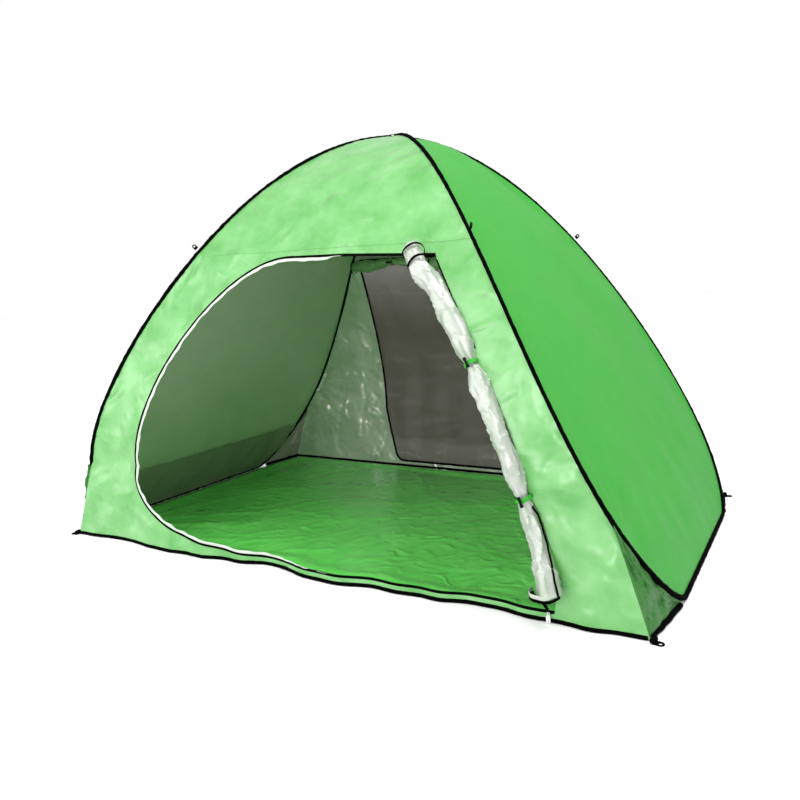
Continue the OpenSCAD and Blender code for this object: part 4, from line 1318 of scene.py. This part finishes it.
a = np.linspace(0, 2 * math.pi, 44, endpoint=False)
for side_name, way in (("right", 1), ("left", -1)):
    end = cover_centre([way * (WINDOW_HALF + 0.004)])[0]
    ring = 0.0265 * np.stack([0 * a, np.cos(a), np.sin(a)], axis=1)
    band = tube(f"window_cover_end_{side_name}", end + ring, np.tile([0.0028, 0, 0], (len(a), 8, 1)),
                (ring / 0.0265 * 0.0009)[:, None] * np.ones((1, 8, 1)), BLACK, 8, close=True)
    finish_piece(band, None, ["window_cover"])

for side_name, way in (("right", 1), ("left", -1)):
    point = cover_centre([way * COVER_TIE_X])[0]
    radius = COVER_R * 0.5 + 0.0035
    ring = radius * np.stack([0 * a, np.cos(a), np.sin(a)], axis=1)
    band = tube(f"window_{side_name}_tie_band", point + ring,
                np.tile([0.005, 0, 0], (len(a), 8, 1)), (ring / radius * 0.0009)[:, None] * np.ones((1, 8, 1)),
                COVER, 8, close=True)
    finish_piece(band, f"window_{side_name}_tie", [f"window_{side_name}_tie"])
    toggle = lathe(f"window_{side_name}_toggle_barrel", TOGGLE_PROFILE,
                   place_along(point + [0, -COVER_R * 0.5 - 0.0095, -0.002], (1, 0, 0)), TOGGLE)
    finish_piece(toggle, f"window_{side_name}_tie", [f"window_{side_name}_toggle"])

# ---- peak, loops and tabs ----

a = np.linspace(0, 2 * math.pi, 72, endpoint=False)
turn_out = np.stack([np.cos(a), 0 * a, np.sin(a)], axis=1)
ring = 0.0100 * turn_out + np.sign(np.cos(a))[:, None] * np.array([0.0106, 0, 0])
apex = tube("apex_tape_band", np.array([0, 0, CROWN]) + ring, np.tile([0, 0.006, 0], (72, 8, 1)),
            (turn_out * 0.0006)[:, None] * np.ones((1, 8, 1)), BLACK, 8, close=True)
finish_piece(apex, None, ["apex_tape"])


def tongue(length, half, eye_at, eye_r):
    """The outline of a loop's flat tongue with a round end, and its eye."""
    end = circle(length - half, 0, half, 48)
    end = end[end[:, 0] >= length - half - 1e-6]
    order = np.argsort(np.arctan2(end[:, 1], end[:, 0] - (length - half)))
    return np.vstack([[[0, -half]], end[order], [[0, half]]]), circle(eye_at, 0, eye_r, 28)


LOOP_TURN = math.radians(12)
for end_name, y_way in (("front", -1), ("rear", 1)):
    for side_name, x_way in (("right", 1), ("left", -1)):
        out_way = Vector((math.cos(LOOP_TURN) * x_way, math.sin(LOOP_TURN) * y_way, 0))
        origin = Vector(((HALF_W + 0.002) * x_way, (HALF_D + 0.003) * y_way, 0))
        aside = Vector((0, 0, 1)).cross(out_way)
        place = Matrix((out_way, aside, Vector((0, 0, 1)))).transposed().to_4x4()
        place.translation = origin + Vector((0, 0, 0.0015))
        outer, eye = tongue(0.031, 0.0110, 0.021, 0.005)
        outer = outer + [[0.004, 0]] * (outer[:, :1] < 0.001)
        loop = plate(f"{end_name}_{side_name}_peg_webbing", outer, [eye], 0.0030, place, WEBBING, 0.003, 0.0008)
        finish_piece(loop, f"{end_name}_{side_name}_peg_loop", [f"{end_name}_{side_name}_peg_loop"])
        roll_line = np.array([origin + 0.005 * out_way + aside * k + Vector((0, 0, 0.0078))
                              for k in np.linspace(-0.0140, 0.0130, 9)])
        knot = round_tube(f"{end_name}_{side_name}_peg_fold", roll_line, (0, 0, 1),
                          [0.0045, 0.0066, 0.0074, 0.0076, 0.0074, 0.0076, 0.0074, 0.0066, 0.0045], WEBBING, 14)
        finish_piece(knot, f"{end_name}_{side_name}_peg_loop", [])

TAB_T = 0.245
tab_on = bezier(EDGE, TAB_T)[0]
tab_along = bezier(EDGE, TAB_T + 0.01)[0] - bezier(EDGE, TAB_T - 0.01)[0]
tab_along /= np.linalg.norm(tab_along)
tab_out = np.array([0.7, -0.7, 0.1])
tab_out = tab_out - (tab_out @ tab_along) * tab_along
tab_out /= np.linalg.norm(tab_out)
tab_pivot = tab_on + (SLEEVE_R + 0.0034) * tab_out
for end_name, y_way in (("front", 1), ("rear", -1)):
    for side_name, x_way in (("right", 1), ("left", -1)):
        flip = np.array([x_way, y_way, 1])
        out_way, along = Vector(tab_out * flip), Vector(tab_along * flip)
        place = Matrix((out_way, along, out_way.cross(along))).transposed().to_4x4()
        place.translation = Vector(tab_pivot * flip)
        outer, eye = tongue(0.0180, 0.0068, 0.011, 0.003)
        tab = plate(f"{end_name}_{side_name}_guy_webbing", outer, [eye], 0.0023, place, WEBBING, 0.003, 0.0005)
        finish_piece(tab, f"{end_name}_{side_name}_guy_tab", [f"{end_name}_{side_name}_guy_tab"])

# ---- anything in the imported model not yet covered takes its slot's material ----

slot_of = {part["node"]: part["material_slot"] for part in frame["record"]["subparts"]}
for node_name, node in frame["nodes"].items():
    node.data.materials.clear()
    node.data.materials.append(KEYS[slot_of[node_name]])

# ---- stage, light and camera ----

stage_mat, tree = node_tree("stage_white")
stage_skin = tree.nodes.new("ShaderNodeBsdfPrincipled")
stage_skin.inputs["Base Color"].default_value = (0.99, 0.99, 0.99, 1)
stage_skin.inputs["Roughness"].default_value = 0.9
tree.links.new(stage_skin.outputs["BSDF"], tree.nodes.new("ShaderNodeOutputMaterial").inputs["Surface"])
stage_mesh = bpy.data.meshes.new("studio_floor")
stage_mesh.from_pydata([(-30, -30, 0), (30, -30, 0), (30, 30, 0), (-30, 30, 0)], [], [(0, 1, 2, 3)])
stage_mesh.materials.append(stage_mat)
studio_floor = bpy.data.objects.new("studio_floor", stage_mesh)
bpy.context.scene.collection.objects.link(studio_floor)

world = bpy.data.worlds.new("studio")
bpy.context.scene.world = world
world.use_nodes = True
world.node_tree.nodes["Background"].inputs["Color"].default_value = (1, 1, 1, 1)
world.node_tree.nodes["Background"].inputs["Strength"].default_value = 1.0


def soft_light(name, where, target, size, power):
    data = bpy.data.lights.new(name, "AREA")
    data.shape = "SQUARE"
    data.size = size
    data.energy = power
    light = bpy.data.objects.new(name, data)
    bpy.context.scene.collection.objects.link(light)
    light.location = where
    light.rotation_euler = (Vector(target) - Vector(where)).to_track_quat("-Z", "Y").to_euler()


soft_light("key_light", (-2.0, -3.9, 3.4), (0, -0.3, 0.7), 2.4, 80)
soft_light("left_light", (-4.1, -3.5, 1.1), (-0.5, -0.5, 0.3), 1.9, 45)
soft_light("front_light", (0.1, -6.0, 1.4), (0, 0.3, 0.4), 2.4, 150)
soft_light("top_light", (1.6, -0.4, 3.4), (0.4, 0, 1.1), 1.8, 75)

camera_data = bpy.data.cameras.new("camera")
camera_data.lens = 765 / 800 * 36
camera_data.sensor_width = 36
camera = bpy.data.objects.new("camera", camera_data)
bpy.context.scene.collection.objects.link(camera)
ahead = Vector((-0.019, 0, 0.429)) - Vector((1.3427, -2.3819, 0.8526))
ahead.normalize()
level = ahead.cross(Vector((0, 0, 1))).normalized()
upright = level.cross(ahead)
roll_angle = math.radians(-2.36)
camera_right = level * math.cos(roll_angle) + upright * math.sin(roll_angle)
camera_up = -level * math.sin(roll_angle) + upright * math.cos(roll_angle)
pose = Matrix((camera_right, camera_up, -ahead)).transposed().to_4x4()
pose.translation = Vector((1.3427, -2.3819, 0.8526))
camera.matrix_world = pose
bpy.context.scene.camera = camera
bpy.context.scene.view_settings.view_transform = "Standard"
